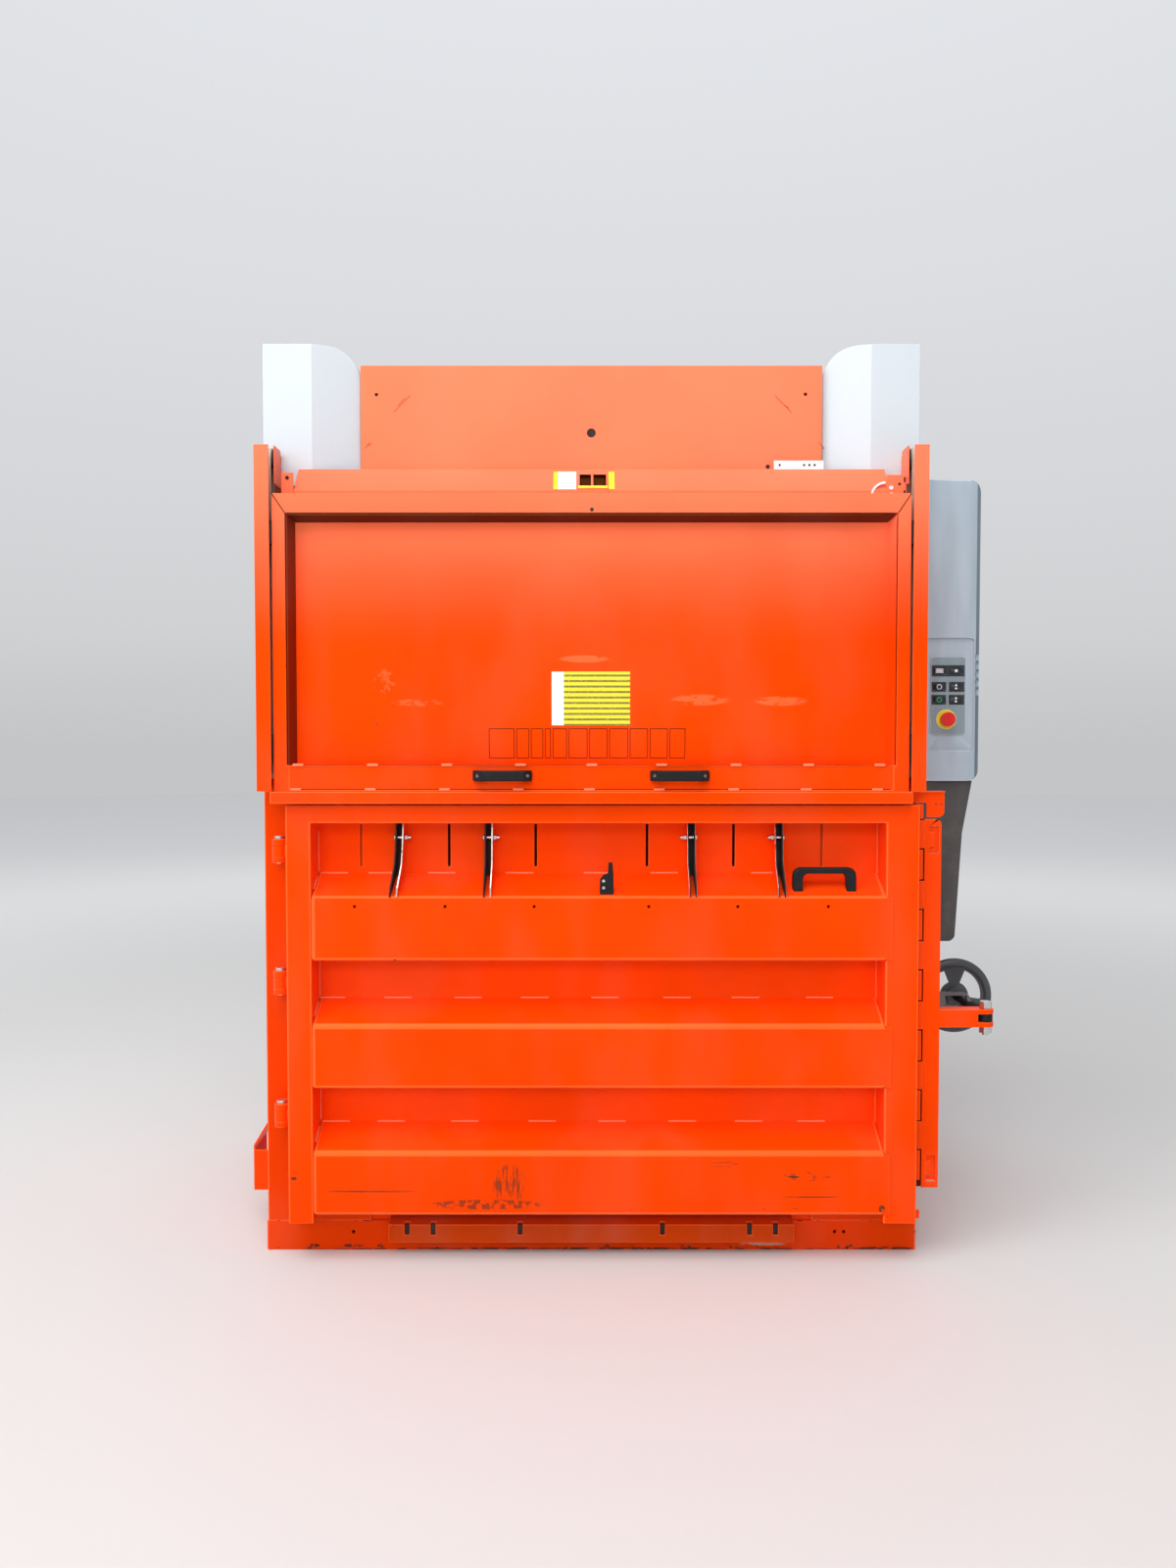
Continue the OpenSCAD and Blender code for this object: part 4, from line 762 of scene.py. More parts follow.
class BALER_OT_stage(bpy.types.Operator):
    """Make the floor, the room, the soft light and the camera"""

    bl_idname = "baler.stage"
    bl_label = "Stage"

    def execute(self, context):
        studio = settings("studio")
        floor = fresh(
            "floor", "circle", vertices=96, radius=30, fill_type="NGON", location=(0, 0, -0.0005)
        )
        material = bpy.data.materials.new("floor")
        material.use_nodes = True
        w = Wires(material.node_tree, "Object")
        # Painted light: from 3 m out to 9 m the floor is painted paler, making up for the lamp
        # light that falls off with distance.
        far = w.step(w.reckon("VectorMath", "LENGTH", w.place)["Value"], 3, 9)
        w.fill(w.tree.nodes["Principled BSDF"], {
            "Base Color": w.both(far, studio.floor, (0.95, 0.95, 0.94)), "Roughness": 0.85,
            "Specular IOR Level": 0.2,
        })
        floor.data.materials.append(material)

        world = bpy.data.worlds.new("room")
        context.scene.world = world
        world.use_nodes = True
        w = Wires(world.node_tree, "Generated")
        ramp = w.node("ValToRGB")
        w.feed(ramp.inputs[0], w.axis("Z"))
        stops = ramp.color_ramp.elements
        stops.new(0.1)
        shades = ((1.05, 1.06, 1.08, 1), (1.2, 1.22, 1.25, 1), (1.5, 1.53, 1.6, 1))
        for stop, position, shade in zip(stops, (0.0, 0.1, 0.6), shades):
            stop.position, stop.color = position, shade
        behind = w.step(w.axis("Y"), -0.3, 0.9, studio.room, studio.room * 1.7)
        w.fill(w.tree.nodes["Background"], {"Color": ramp.outputs[0], "Strength": behind})

        body_middle = Vector((0, 0, 1.2))
        for name, place, (wide, high), radiance in (
            ("front_softbox", (-1.2, -10, 4.8), (7, 2.4), studio.sky),
            ("high_softbox", (-1.5, -4, 7), (7, 4), studio.sky * 0.9),
            ("left_softbox", (-8, -5, 4), (6, 4), studio.sky * 0.6),
            ("right_softbox", (9, 1, 4.5), (8, 4), studio.sky * 0.06),
            ("back_softbox", (0, 9, 5), (9, 4), studio.sky * 0.08),
        ):
            lamp = bpy.data.lights.new(name, "AREA")
            lamp.shape = "RECTANGLE"
            lamp.size, lamp.size_y = wide, high
            lamp.energy = radiance * math.pi * wide * high
            holder = placed(name, lamp)
            holder.location = place
            aim = body_middle - holder.location
            holder.rotation_euler = aim.to_track_quat("-Z", "Y").to_euler()
            holder.visible_camera = False

        lens = bpy.data.cameras.new("camera")
        lens.sensor_width = 36
        lens.sensor_fit = "AUTO"
        lens.lens = studio.focal
        camera = placed("camera", lens)
        camera.location = studio.stand
        camera.rotation_euler = (studio.tilt, 0, 0)
        context.scene.camera = camera
        context.scene.view_settings.view_transform = "Standard"
        return {"FINISHED"}


# Press body


class BALER_OT_press_body(bpy.types.Operator):
    """Round and paint the base, the columns, the walls, the posts and the floor"""

    bl_idname = "baler.press_body"
    bl_label = "Press Body"

    def execute(self, context):
        sizes = settings("sizes")
        thin = sizes.plate_edge * 0.6
        dressed("base_frame", sizes.fold, "foot_paint", "battered_edge")
        for node in ("left_column", "right_column"):
            dressed(node, sizes.fold, "foot_paint", "paint_edge", segments=3)
        enamelled(sizes.fold * 0.75, "rear_wall", "side_lug", "hatch_ledge")
        enamelled(sizes.plate_edge, "left_side_wall", "right_side_wall", "hinge_lugs")
        enamelled(thin, "left_hatch_post", "right_hatch_post", "hatch_header")
        enamelled(thin, "top_guard_panel", "switch_bracket")
        dressed("spindle_bracket", sizes.plate_edge, "tank_enamel")
        dressed("floor_strap_channel", sizes.plate_edge * 0.7, "worn_channel", "paint_edge")
        low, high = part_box("floor_strap_channel")
        front, lip = low.y * 1000, high.z * 1000
        # Dark plates of painted shade behind the channel's notches.
        backs = [
            block("notch_back", (x - 6.5, front + 5, lip - 41), (x + 6.5, front + 7, lip - 14))
            for x in (-497, -427, -192, 192, 427, 497)
        ]
        settle(joined("notch_backs", backs), "machine_frame", "gap_shade_and_black")
        floor = copied("chamber_floor", 2)
        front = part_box("chamber_floor")[0].y * 1000
        faces_where(floor, 1, lambda at, normal: normal.y < -0.9 and at.y < front + 1)
        settle(floor, "machine_frame", "bare_steel", "body_paint", stands_for=("chamber_floor",))
        return {"FINISHED"}


class BALER_OT_covers(bpy.types.Operator):
    """Round and coat the two cylinder covers"""

    bl_idname = "baler.covers"
    bl_label = "Cylinder Covers"

    def execute(self, context):
        for node in ("left_cylinder_cover", "right_cylinder_cover"):
            dressed(node, settings("sizes").plate_edge * 0.7, "cover_coat", bend=8)
        return {"FINISHED"}


# Loading hatch


class BALER_OT_hatch(bpy.types.Operator):
    """Make the loading hatch: its frame, the bowed sheet, mitred corners, stitch tabs and pulls"""

    bl_idname = "baler.hatch"
    bl_label = "Loading Hatch"

    def execute(self, context):
        sizes = settings("sizes")
        dressed("hatch_frame", sizes.fold * 0.5, "hatch_paint", "paint_edge")
        self.sheet(sizes.crown)
        self.mitres()
        self.stitch_tabs()
        self.pulls()
        painted("hatch_sliders", "black_skin")
        return {"FINISHED"}

    def sheet(self, crown):
        """The recessed sheet: a bowed back with flanges that lean out at its sides and top."""
        low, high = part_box("hatch_panel")
        lean, thick, touch = mm(13), mm(3), 1e-4
        left, right = low.x + lean + thick, high.x - lean - thick
        top, back = high.z - lean - thick, high.y - thick
        piece = fresh(
            "hatch_sheet", "grid", (right - left, top - low.z, 1), x_subdivisions=14,
            y_subdivisions=10, size=1, location=((left + right) / 2, back, (low.z + top) / 2),
            rotation=UPRIGHT,
        )
        self.push(
            piece,
            lambda co: left + 0.02 < co.x < right - 0.02 and low.z + 0.01 < co.z < top - 0.02,
            (0, -crown, 0),
        )
        modify(piece, "SUBSURF", levels=2, render_levels=2, boundary_smooth="PRESERVE_CORNERS")
        edges = (
            (lambda co: co.x < left + touch, (-lean, 0, 0)),
            (lambda co: co.x > right - touch, (lean, 0, 0)),
            (lambda co: co.z > top - touch, (0, 0, lean)),
        )
        with editing(piece) as mesh:
            bpy.ops.mesh.select_mode(type="EDGE")
            pick(piece, [
                edge for edge in mesh.edges
                if any(all(on(vert.co) for vert in edge.verts) for on, _ in edges)
            ])
            bpy.ops.mesh.extrude_region_move(TRANSFORM_OT_translate={"value": (0, low.y - back, 0)})
            bpy.ops.mesh.select_mode(type="VERT")
        for on, way in edges:
            self.push(piece, lambda co: on(co) and co.y < low.y + touch, way)
        with editing(piece, "SELECT"):
            bpy.ops.mesh.normals_make_consistent(inside=False)
            if sum(polygon.normal.y for polygon in piece.data.polygons) > 0:
                bpy.ops.mesh.flip_normals()
        modify(piece, "SOLIDIFY", thickness=thick, offset=-1)
        smooth(piece, 40)
        spaces(piece, 3)
        # The top flange and the left flange take painted shade, the top one darkest, as under the
        # rail.
        margin = 8
        flange = (back - crown) * 1000 - margin
        faces_where(piece, 2, lambda at, normal: at.y < flange and at.x < left * 1000 + 1)
        faces_where(piece, 1, lambda at, normal: at.y < flange and at.z > top * 1000 - 1)
        settle(
            piece, "loading_hatch", "hatch_paint", "shaded_fold", "shaded_side",
            stands_for=("hatch_panel",),
        )

    def push(self, piece, test, way):
        """Moves the points that pass a test."""
        with editing(piece) as mesh:
            pick(piece, [vert for vert in mesh.verts if test(vert.co)])
            bpy.ops.transform.translate(value=way)

    def mitres(self):
        """Dark seams where the top rail meets the sides."""
        low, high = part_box("hatch_frame")
        seams = []
        for side in (-1, 1):
            outer = Vector((side * high.x, low.y, high.z)) * 1000
            inner = outer + Vector((-side * 34, 0, -50))
            seams.append(rod("seam", outer + Vector((-side, -0.1, -1)), inner, 1.3, sides=8))
        settle(joined("mitre_seams", seams), "loading_hatch", "seam")

    def stitch_tabs(self):
        """Flat tacks along both edges of the bottom strip, and its seams."""
        tab = block("tab", (-14, -667, -3.5), (14, -664, 3.5), 1.4)
        tabs = []
        for x in (-761, -568, -375, -184, 1, 182, 375, 563, 748):
            tabs.append(again(tab, "tab", (x, 0.6, 1328)))
            tabs.append(again(tab, "tab", (x - 6, 0.6, 1264)))
        bpy.data.objects.remove(tab)
        settle(joined("stitch_tabs", tabs), "loading_hatch", "weld_paint")
        seams = [
            block("strip_seam", (-776, -662.8, 1262.6), (776, -661, 1265.4)),
            block("strip_seam", (-776, -665.4, 1326.6), (776, -664, 1328)),
        ]
        settle(joined("strip_seams", seams), "loading_hatch", "seam")

    def pulls(self):
        """Black pulls with their screws."""
        dressed("hatch_handles", 0.004, "black_skin", segments=3, least=0.003)
        head = screw("head", (0, -668.5, 1300), 4.6, 2.5)
        heads = [again(head, "head", (x + s * 65, 0, 0)) for x in (-231, 229) for s in (-1, 1)]
        bpy.data.objects.remove(head)
        settle(joined("pull_screws", heads), "loading_hatch", "zinc")


class BALER_OT_cards(bpy.types.Operator):
    """Lay the blank cards and the strip of empty boxes on the hatch"""

    bl_idname = "baler.cards"
    bl_label = "Blank Cards"
    before = -700  # millimetres along Y, in front of the hatch

    def execute(self, context):
        self.card("ruled_card", -72, 101, "ruled_yellow")
        self.card("card_margin", -104, -72, "white_skin")
        self.boxes()
        return {"FINISHED"}

    def lay(self, piece, lift, side):
        """Lays a flat piece on the hatch's sheet behind it and makes it as thick as a card."""
        modify(
            piece, "SHRINKWRAP", target=bpy.data.objects["hatch_sheet"], wrap_method="PROJECT",
            use_project_y=True, use_positive_direction=True, use_negative_direction=True,
            offset=lift,
        )
        modify(piece, "SOLIDIFY", thickness=0.0003, offset=side)

    def card(self, name, left, right, skin):
        """A blank card."""
        foot, top = 1431, 1571
        piece = fresh(
            name, "grid", (mm(right - left), mm(top - foot), 1), x_subdivisions=12,
            y_subdivisions=8, size=1, rotation=UPRIGHT,
            location=mm((left + right) / 2, self.before, (foot + top) / 2),
        )
        self.lay(piece, 0.0005, -1)
        settle(piece, "loading_hatch", skin)

    def boxes(self):
        """A strip of empty boxes, ruled in thin dark lines."""
        edges = (-271, -199, -161, -124, -104, -62, -8, 44, 98, 150, 202, 248)
        gap, height, line, middle = 5, 78, 1.7, 1384
        frames = []
        for left, right in zip(edges, edges[1:]):
            box = fresh(
                "box", "plane", (mm(right - left - gap), mm(height), 1), size=1,
                rotation=UPRIGHT, location=mm((left + right) / 2, self.before, middle),
            )
            with editing(box, "SELECT"):
                bpy.ops.mesh.inset(thickness=mm(line))
                bpy.ops.mesh.delete(type="FACE")
            frames.append(box)
        strip = joined("empty_boxes", frames)
        modify(strip, "SUBSURF", subdivision_type="SIMPLE", levels=2)
        self.lay(strip, 0.0007, 1)
        settle(strip, "loading_hatch", "seam")


# Chamber door


class BALER_OT_door(bpy.types.Operator):
    """Make the chamber door: frame, hat beams, comb and hinge pins"""

    bl_idname = "baler.door"
    bl_label = "Chamber Door"

    def execute(self, context):
        sizes = settings("sizes")
        dressed("door_frame", sizes.fold, "door_paint", "paint_edge", segments=3)
        dressed("door_beams", sizes.beam_fold, "door_paint", "paint_edge", segments=4)
        enamelled(sizes.plate_edge, "door_comb")
        dressed("hinge_pins", 0.001, "zinc")
        low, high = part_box("lock_bar")
        # A dark plate of painted shade in the comb's gap, standing for the shaded slit in front of
        # the lock bar.
        backing = block("comb_gap_shade", (859, -606, low.z * 1000), (883, -604, high.z * 1000))
        settle(backing, "chamber_door", "seam")
        return {"FINISHED"}


class BALER_OT_welds(bpy.types.Operator):
    """Lay the stitch welds along the beams and in the recess corners"""

    bl_idname = "baler.welds"
    bl_label = "Weld Beads"

    def execute(self, context):
        sizes = settings("sizes")
        bead = self.bead(sizes.stitch * 1000, sizes.bead * 1000)
        upright = self.bead(52, 5)
        turn = turned(90, "Y")
        lean = turned(-58, "X") @ turn
        first_seam, beam_pitch, corner = 359, 338, -733.5
        beads = []
        for beam, starts in enumerate((
            (-690, -540, -340, -130, 60, 250, 430, 600),
            (-700, -520, -330, -150, 40, 235, 420, 620),
            (-690, -560, -400, -190, 20, 200, 470, 640),
        )):
            seam = first_seam + beam_pitch * beam
            for x in starts:
                beads.append(again(bead, "bead", (x, -559.5, seam)))
            for z in (seam + 30, seam + 85):
                beads.append(again(upright, "bead", (corner, -561, z), turn))
            beads.append(again(upright, "bead", (corner, -600, seam - 22), lean))
        for spare in (bead, upright):
            bpy.data.objects.remove(spare)
        settle(joined("weld_beads", beads), "chamber_door", "weld_paint")
        return {"FINISHED"}

    def bead(self, run, width):
        """One rippled bead along X: overlapping drops, flattened onto the plate."""
        pitch = width * 0.55
        piece = fresh("drop", "uv_sphere", segments=8, ring_count=5, radius=mm(width / 2))
        modify(
            piece, "ARRAY", count=max(3, round(run / pitch)), use_relative_offset=False,
            use_constant_offset=True, constant_offset_displace=(mm(pitch), 0, 0),
        )
        flat = Matrix.Diagonal((1, 0.7, 0.8, 1))
        piece.data.transform(Matrix.Translation(mm(-run / 2, 0, 0)) @ flat)
        smooth(piece, 60)
        return piece


class BALER_OT_strap_guides(bpy.types.Operator):
    """Finish the strap guides, their bolts, the handle and the catch"""

    bl_idname = "baler.strap_guides"
    bl_label = "Strap Guides"

    def execute(self, context):
        guides = round_edges(copied("strap_guides", 4), 0.0009)
        middles, half_width, bent_front = (-522, -277, 266, 499), 10, -575

        def inside(at, normal):
            """Whether a face lies inside a guide's loop."""
            near = min(abs(at.x - x) for x in middles)
            return near < half_width and abs(normal.z) < 0.9

        faces_where(guides, 2, lambda at, normal: normal.y < -0.6 and at.y < bent_front)
        # Faces inside each guide's loop take painted shade.
        faces_where(guides, 3, inside)
        settle(
            guides, "chamber_door", "body_paint", "paint_edge", "bright_edge", "gap_shade_and_black",
            stands_for=("strap_guides",),
        )
        dressed("guide_bolts", 0.0007, "zinc")
        dressed("door_handle", 0.0055, "black_skin", segments=4, least=0.003)
        dressed("door_catch", 0.0012, "black_skin")
        low, high = (corner * 1000 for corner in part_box("door_catch"))
        heads = [screw("rivet", (32, low.y, high.z - drop), 4, 1.6) for drop in (67, 49)]
        settle(joined("catch_rivets", heads), "chamber_door", "zinc")
        return {"FINISHED"}


# Door lock


class BALER_OT_lock(bpy.types.Operator):
    """Finish the lock bar, its teeth, its bolt and the handwheel, and cut the spindle's thread"""

    bl_idname = "baler.lock"
    bl_label = "Door Lock"

    def execute(self, context):
        sizes = settings("sizes")
        enamelled(sizes.plate_edge, "lock_bar", "lock_teeth")
        dressed("lock_bolt", 0.0012, "zinc")
        self.spindle(sizes.thread)
        wheel = copied("handwheel")
        smooth(wheel, 35)
        settle(wheel, "handwheel", "wheel_skin", stands_for=("handwheel",))
        half_height = 33.5
        backs = [
            block("window_back", (888, -608, z - half_height), (925, -604.4, z + half_height))
            for z in (250, 1130)
        ]
        settle(joined("window_backs", backs), "lock_bar", "body_paint")
        return {"FINISHED"}

    def spindle(self, pitch):
        """The eye, a helical thread, and a sleeve with a yellow band and a pale nut."""
        low, high = (corner * 1000 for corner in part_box("lock_spindle"))
        x, z = (low.x + high.x) / 2, (low.z + high.z) / 2
        eye = copied("lock_spindle")
        with editing(eye, "SELECT"):
            bpy.ops.mesh.bisect(
                plane_co=mm(0, -560, 0), plane_no=(0, 1, 0), clear_outer=True, use_fill=True,
                threshold=1e-5,
            )
        round_edges(eye, 0.001)
        thread = self.thread(Vector((x, -562, z)), high.y, 8.2, 9.5, pitch * 1000)
        rings = [
            rod(name, (x, start, z), (x, end, z), radius, edge, sides)
            for name, start, end, radius, edge, sides in (
                ("sleeve", -546, -500, 21, 3, 40), ("band", -536, -512, 21.6, 1, 40),
                ("nut", -562, -546, 15, 1.2, 6),
            )
        ]
        pieces = [eye, thread, *rings]
        for piece, index in zip(pieces, (0, 1, 0, 2, 3)):
            spaces(piece, 4)
            faces_where(piece, index, lambda at, normal: True)
        settle(
            joined("threaded_spindle", pieces), "spindle", "black_skin", "round_steel",
            "collar_skin", "zinc", stands_for=("lock_spindle",),
        )

    def thread(self, start, end, core, crest, pitch):
        """A screw thread along Y, spun from one tooth of its profile."""
        profile = ((core, 0), (core, 0.25), (crest, 0.5), (crest, 0.6), (core, 1))
        mesh = bpy.data.meshes.new("thread")
        points = [mm(radius, 0, pitch * part) for radius, part in profile]
        mesh.from_pydata(points, [(0, 1), (1, 2), (2, 3), (3, 4)], [])
        piece = placed("thread", mesh)
        modify(
            piece, "SCREW", angle=math.tau, screw_offset=mm(pitch),
            iterations=int((end - start.y) / pitch) - 1, steps=16, render_steps=16, axis="Z",
            use_merge_vertices=True, merge_threshold=1e-5, use_normal_calculate=True,
        )
        piece.data.transform(Matrix.Translation(start / 1000) @ turned(-90, "X"))
        with editing(piece, "SELECT"):
            bpy.ops.mesh.remove_doubles(threshold=1e-5)
            bpy.ops.mesh.fill_holes(sides=0)
            bpy.ops.mesh.normals_make_consistent(inside=False)
        return piece


# Header


class BALER_OT_header_fittings(bpy.types.Operator):
    """Place the header's and the guard's fittings, marks and blank cards"""

    bl_idname = "baler.header_fittings"
    bl_label = "Header Fittings"
    face = -613  # millimetres along Y, the front of the plates

    def execute(self, context):
        self.drilled_strip()
        self.sensor()
        self.guard_band()
        self.guard_marks()
        bracket = block("end_bracket", (-812, self.face, 2036), (-780, self.face + 4, 2092), 1.2)
        settle(bracket, "machine_frame", "body_paint", "paint_edge")
        end_screw = screw("end_screw", (-796, self.face, 2078), 5, 2.4)
        settle(end_screw, "machine_frame", "gap_shade_and_black")
        self.latch_card()
        return {"FINISHED"}

    def drilled_strip(self):
        """A pale strip with four holes drawn as dark discs of painted shade."""
        strip = block("drilled_strip", (486, -560, 2112), (618, -557, 2136), 0.8)
        settle(strip, "machine_frame", "white_skin")
        holes = [
            rod("hole", (x, -560.6, 2124), (x, -559.6, 2124), 3.2, 0.2)
            for x in (501, 566, 580, 594)
        ]
        settle(joined("strip_holes", holes), "machine_frame", "gap_shade_and_black")

    def sensor(self):
        """A plate with two screws, and a hole and two slits drawn as dark pieces of painted shade.
        """
        face = self.face
        plate = block("sensor_plate", (772, face, 2028), (824, face + 4, 2086), 1.2)
        settle(plate, "machine_frame", "body_paint", "paint_edge")
        heads = [screw("head", (784, face, z), 5.5, 2.4) for z in (2052, 2034)]
        settle(joined("sensor_screws", heads), "machine_frame", "white_skin")
        openings = [rod("hole", (806, face - 0.6, 2062), (806, face + 0.4, 2062), 4, 0.2)]
        for z in (2032, 2066):
            openings.append(block("slit", (817, face - 0.6, z), (822, face + 0.4, z + 14), 0.3))
        settle(joined("sensor_openings", openings), "machine_frame", "gap_shade_and_black")

    def guard_band(self):
        """A pale band bent a quarter turn beside the sensor plate."""
        piece = fresh(
            "guard_band", "circle", vertices=48, radius=mm(36), fill_type="NOTHING",
            location=mm(770, -612, 2030), rotation=UPRIGHT,
        )
        with editing(piece) as mesh:
            pick(piece, [v for v in mesh.verts if v.co.x > mm(771) or v.co.z < mm(2029)])
            bpy.ops.mesh.delete(type="VERT")
            bpy.ops.mesh.select_all(action="SELECT")
            bpy.ops.mesh.extrude_region_move(TRANSFORM_OT_translate={"value": mm(0, 10, 0)})
        modify(piece, "SOLIDIFY", thickness=0.006, offset=0)
        round_edges(piece, 0.0008)
        settle(piece, "machine_frame", "white_skin")

    def guard_marks(self):
        """Scores on the guard panel, and dark backs of painted shade in its holes."""
        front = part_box("top_guard_panel")[0].y * 1000 + 1
        scores = [
            rod("score", (x0, front, z0), (x1, front, z1), 1.6, sides=8)
            for x0, z0, x1, z1 in (
                (-532, 2272, -486, 2318), (-520, 2290, -500, 2312), (492, 2318, 538, 2272),
                (508, 2300, 530, 2284), (-608, 2176, -596, 2194), (-604, 2182, -590, 2190),
                (612, 2194, 626, 2176),
            )
        ]
        settle(joined("rub_scores", scores), "machine_frame", "paint_score")
        backs = [
            rod("back", (x, -523, z), (x, -521.5, z), radius)
            for x, z, radius in ((0, 2218, 15), (-577, 2320, 8), (575, 2321, 8), (475, 2128, 9))
        ]
        settle(joined("guard_hole_backs", backs), "machine_frame", "gap_shade_and_black")

    def latch_card(self):
        """Blank cards round the catch's window on the header's slope, and a dark plate of painted
        shade inside the window.
        """
        foot, foot_y = 2046, -611
        slope = math.atan2(2113 - foot, 611 - 560)
        tilt = Matrix.Rotation(math.pi / 2 - slope, 4, "X").inverted()
        for name, left, right, low, high, lift, skin in (
            ("latch_card_left", -100, -88, 2049, 2104, 0, "collar_skin"),
            ("latch_card_pale", -88, -40, 2049, 2104, 0, "white_skin"),
            ("latch_card_right", 45, 61, 2049, 2104, 0, "collar_skin"),
            ("latch_card_foot", -35, 43, 2051, 2058, 7, "collar_skin"),
        ):
            half, middle = (high - low) / math.sin(slope) / 2, (low + high) / 2
            card = block(name, (left, -1, -half), (right, 0.4, half), 0.1)
            depth = foot_y + (middle - foot) / math.tan(slope) - lift
            card.data.transform(Matrix.Translation(mm(0, depth, middle)) @ tilt)
            settle(card, "machine_frame", skin)
        # A dark plate of painted shade inside the catch's window.
        inside = block("latch_shade_plate", (-30, -558, 2050), (38, -555, 2100))
        settle(inside, "machine_frame", "shaded_fold")
        # A dark disc of painted shade for a hole in the hatch's top rail.
        hole = rod("rail_hole", (1, -665.3, 1985), (1, -664, 1985), 5, 0.2)
        settle(hole, "loading_hatch", "gap_shade_and_black")


# Control cabinet


class BALER_OT_cabinet(bpy.types.Operator):
    """Round the moulded cabinet and the duct under it"""

    bl_idname = "baler.cabinet"
    bl_label = "Control Cabinet"

    def execute(self, context):
        width = settings("sizes").housing_fold
        housing = dressed(
            "control_cabinet", width * 0.3, "cabinet_skin", "cabinet_rim", "cabinet_shade",
            segments=3, bend=20,
        )
        # Faces turned to the right take painted shade.
        faces_where(housing, 2, lambda at, normal: normal.x > 0.5)
        dressed("cable_duct", width * 0.7, "duct_skin", segments=3)
        return {"FINISHED"}


class BALER_OT_keypad(bpy.types.Operator):
    """Make the keypad's plate, surrounds, marks and keys, and the emergency stop"""

    bl_idname = "baler.keypad"
    bl_label = "Keypad"

    def execute(self, context):
        rim = -346.4
        panel = round_edges(copied("control_panel", 3), 0.0008)
        faces_where(panel, 2, lambda at, normal: at.y < rim)
        settle(
            panel, "machine_frame", "keypad_skin", "white_skin", "collar_skin",
            stands_for=("control_panel",),
        )
        self.surrounds()
        self.marks()
        for node in ("start_key", "stop_key", "raise_key", "lower_key", "mode_key", "reset_key"):
            dressed(node, 0.0005, "key_skin")
        dressed("emergency_stop", 0.0045, "stop_skin", segments=4)
        return {"FINISHED"}

    def surrounds(self):
        """Dark fields with an opening round each key."""
        face, back, gap = -346.6, -345.8, 0.3
        bars = []

        def bar(left, right, foot, top):
            bars.append(block("field", (left, face, foot), (right, back, top)))

        for keys, left, right, foot, top in (
            (("mode_key", "reset_key"), 976, 1070, 1576, 1608),
            (("raise_key",), 976, 1018, 1532, 1560), (("lower_key",), 1026, 1070, 1532, 1560),
            (("start_key",), 976, 1018, 1495, 1523), (("stop_key",), 1026, 1070, 1495, 1523),
        ):
            holes = [[corner * 1000 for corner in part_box(key)] for key in keys]
            sill, lintel = holes[0][0].z - gap, holes[0][1].z + gap
            edges = [left]
            for low, high in holes:
                edges += [low.x - gap, high.x + gap]
            edges.append(right)
            bar(left, right, foot, sill)
            bar(left, right, lintel, top)
            for start, end in zip(edges[::2], edges[1::2]):
                bar(start, end, sill, lintel)
        settle(joined("key_fields", bars), "machine_frame", "key_skin")

    def marks(self):
        """Arrows, rings and bars on the keys."""
        for name, x, z, kind, skin in (
            ("start", 998, 1509, "ring", "start_skin"), ("stop", 1046, 1509, "down", "white_skin"),
            ("raise", 998, 1546, "ring", "cabinet_rim"), ("lower", 1046, 1546, "up", "white_skin"),
            ("mode", 998, 1592, "bars", "white_skin"), ("reset", 1046, 1592, "dot", "white_skin"),
        ):
            pieces = self.mark(x, z, kind)
            settle(joined(name + "_mark", pieces), name + "_key", skin)

    def mark(self, x, z, kind):
        """The pieces of one key's mark."""
        face, back = -347.9, -347.3
        if kind == "ring":
            return [fresh(
                "mark", "torus", major_radius=mm(6.5), minor_radius=mm(1.5), major_segments=28,
                minor_segments=8, location=mm(x, face + 0.9, z), rotation=UPRIGHT,
            )]
        if kind == "bars":
            return [
                block("bar", (x - 11, face, z + dz), (x + 11, back, z + dz + 3), 0.1)
                for dz in (-6, -1.5, 3)
            ]
        if kind == "dot":
            return [rod("mark", (x, face, z), (x, back, z), 4.5, 0.1)]
        way = 1 if kind == "up" else -1
        return [
            rod("tip", (x, face, z + way * dz), (x, back, z + way * dz), 5, 0.1, 3)
            for dz in (-4.5, 4.5)
        ]


# Press works and power pack


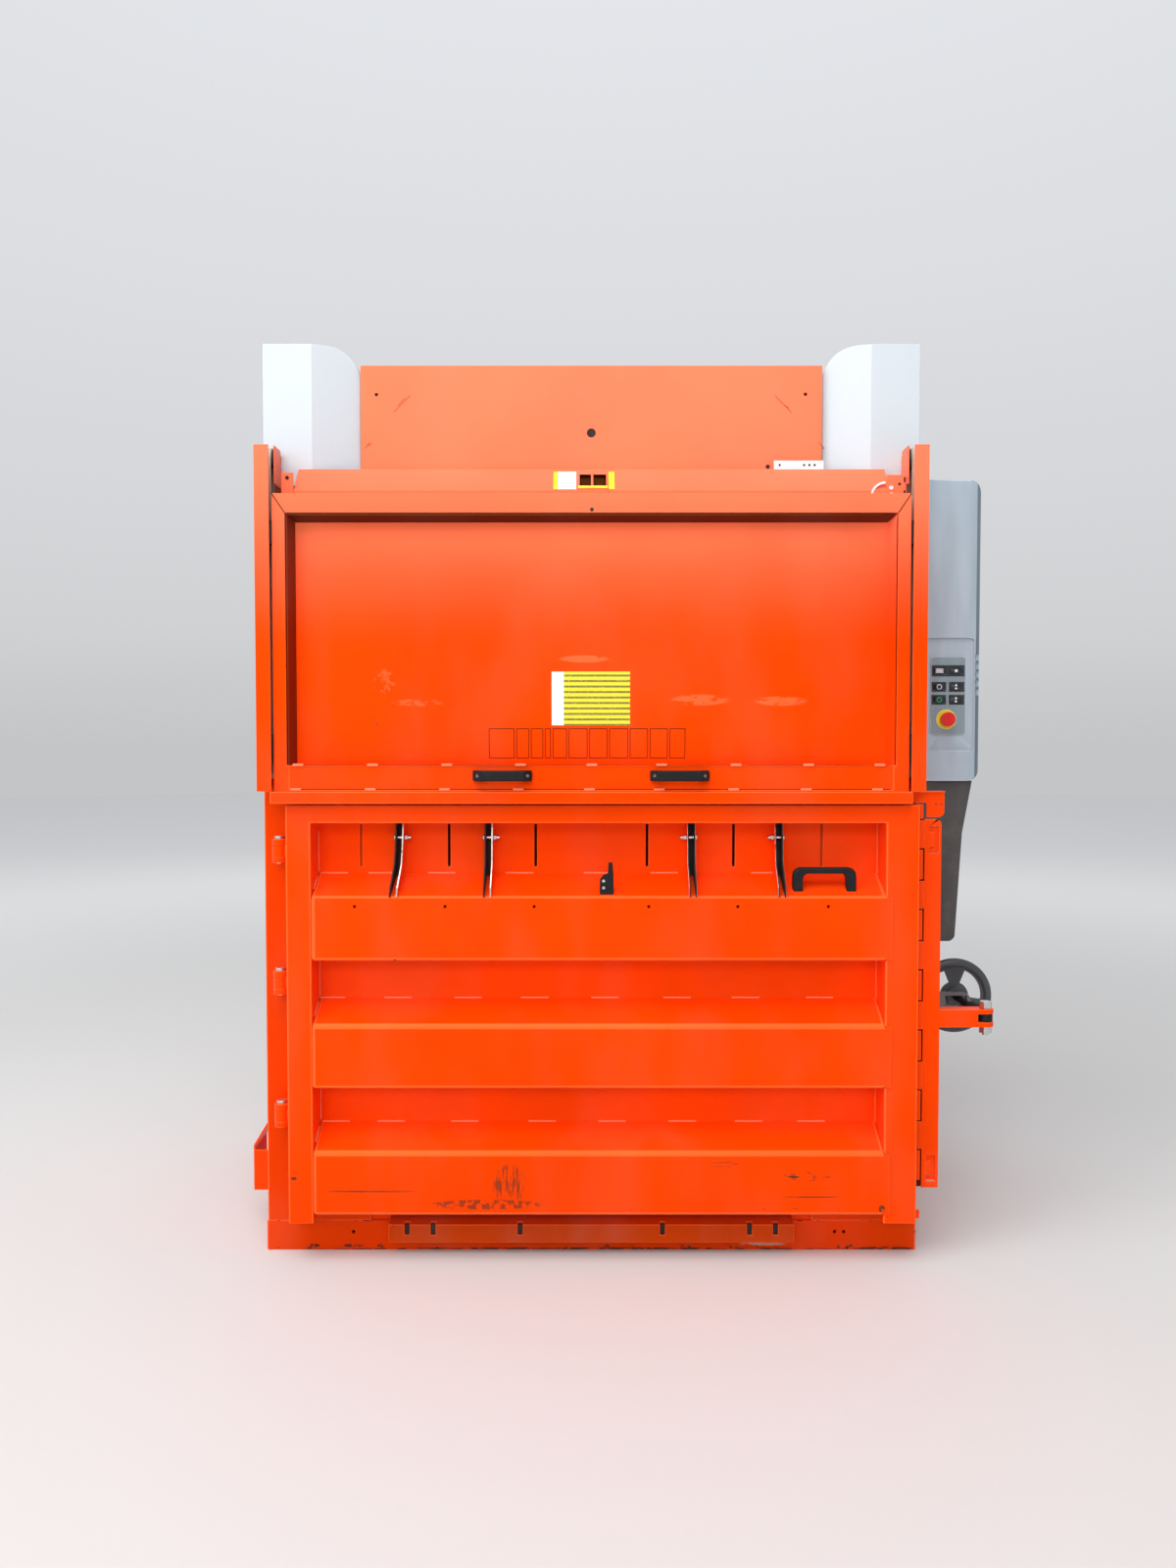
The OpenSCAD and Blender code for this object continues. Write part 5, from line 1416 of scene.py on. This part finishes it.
class BALER_OT_press_works(bpy.types.Operator):
    """Finish the platen, the yoke, the cylinders, the rods, the belts and their pulleys"""

    bl_idname = "baler.press_works"
    bl_label = "Press Works"

    def execute(self, context):
        edge = settings("sizes").plate_edge
        dressed("platen", edge, "bare_steel", "bright_edge")
        enamelled(edge, "yoke_beam")
        dressed("guide_shoes", edge * 0.6, "pale_nylon")
        for node in ("left_cylinder_barrel", "right_cylinder_barrel"):
            dressed(node, edge, "tank_enamel")
        dressed("piston_rods", edge * 0.6, "round_steel")
        painted("hatch_belts", "belt_weave")
        for corner in ("upper_left", "upper_right", "lower_left", "lower_right"):
            dressed(corner + "_pulley", edge * 0.6, "duct_skin")
        return {"FINISHED"}


class BALER_OT_power_pack(bpy.types.Operator):
    """Finish the oil tank, the pump motor and the valve block"""

    bl_idname = "baler.power_pack"
    bl_label = "Power Pack"

    def execute(self, context):
        edge = settings("sizes").plate_edge
        dressed("oil_tank", edge * 1.5, "tank_enamel")
        dressed("pump_motor", edge * 0.4, "tank_enamel")
        dressed("valve_block", edge, "bare_steel")
        return {"FINISHED"}


# Add-on

STEPS = (
    BALER_OT_finishes, BALER_OT_stage, BALER_OT_press_body, BALER_OT_covers, BALER_OT_hatch,
    BALER_OT_cards, BALER_OT_door, BALER_OT_welds, BALER_OT_strap_guides, BALER_OT_lock,
    BALER_OT_header_fittings, BALER_OT_cabinet, BALER_OT_keypad, BALER_OT_press_works,
    BALER_OT_power_pack,
)


class BALER_PT_panel(bpy.types.Panel):
    """The baler's settings and steps"""

    bl_label = "Recycling Baler"
    bl_idname = "BALER_PT_panel"
    bl_space_type = "VIEW_3D"
    bl_region_type = "UI"
    bl_category = "Baler"

    def draw(self, context):
        for step in STEPS:
            self.layout.operator(step.bl_idname)
        for kind, group in SETTINGS.items():
            box = self.layout.box()
            box.label(text=kind.title())
            for name in group.__annotations__:
                box.prop(settings(kind), name)


def register():
    for kind, group in SETTINGS.items():
        bpy.utils.register_class(group)
        setattr(bpy.types.Scene, "baler_" + kind, bpy.props.PointerProperty(type=group))
    for step in (*STEPS, BALER_PT_panel):
        bpy.utils.register_class(step)


def unregister():
    for step in reversed((*STEPS, BALER_PT_panel)):
        bpy.utils.unregister_class(step)
    for kind, group in SETTINGS.items():
        delattr(bpy.types.Scene, "baler_" + kind)
        bpy.utils.unregister_class(group)


def main():
    """Registers the add-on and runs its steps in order."""
    register()
    for step in STEPS:
        getattr(bpy.ops.baler, step.bl_idname.split(".")[1])()


if __name__ == "__main__":
    main()
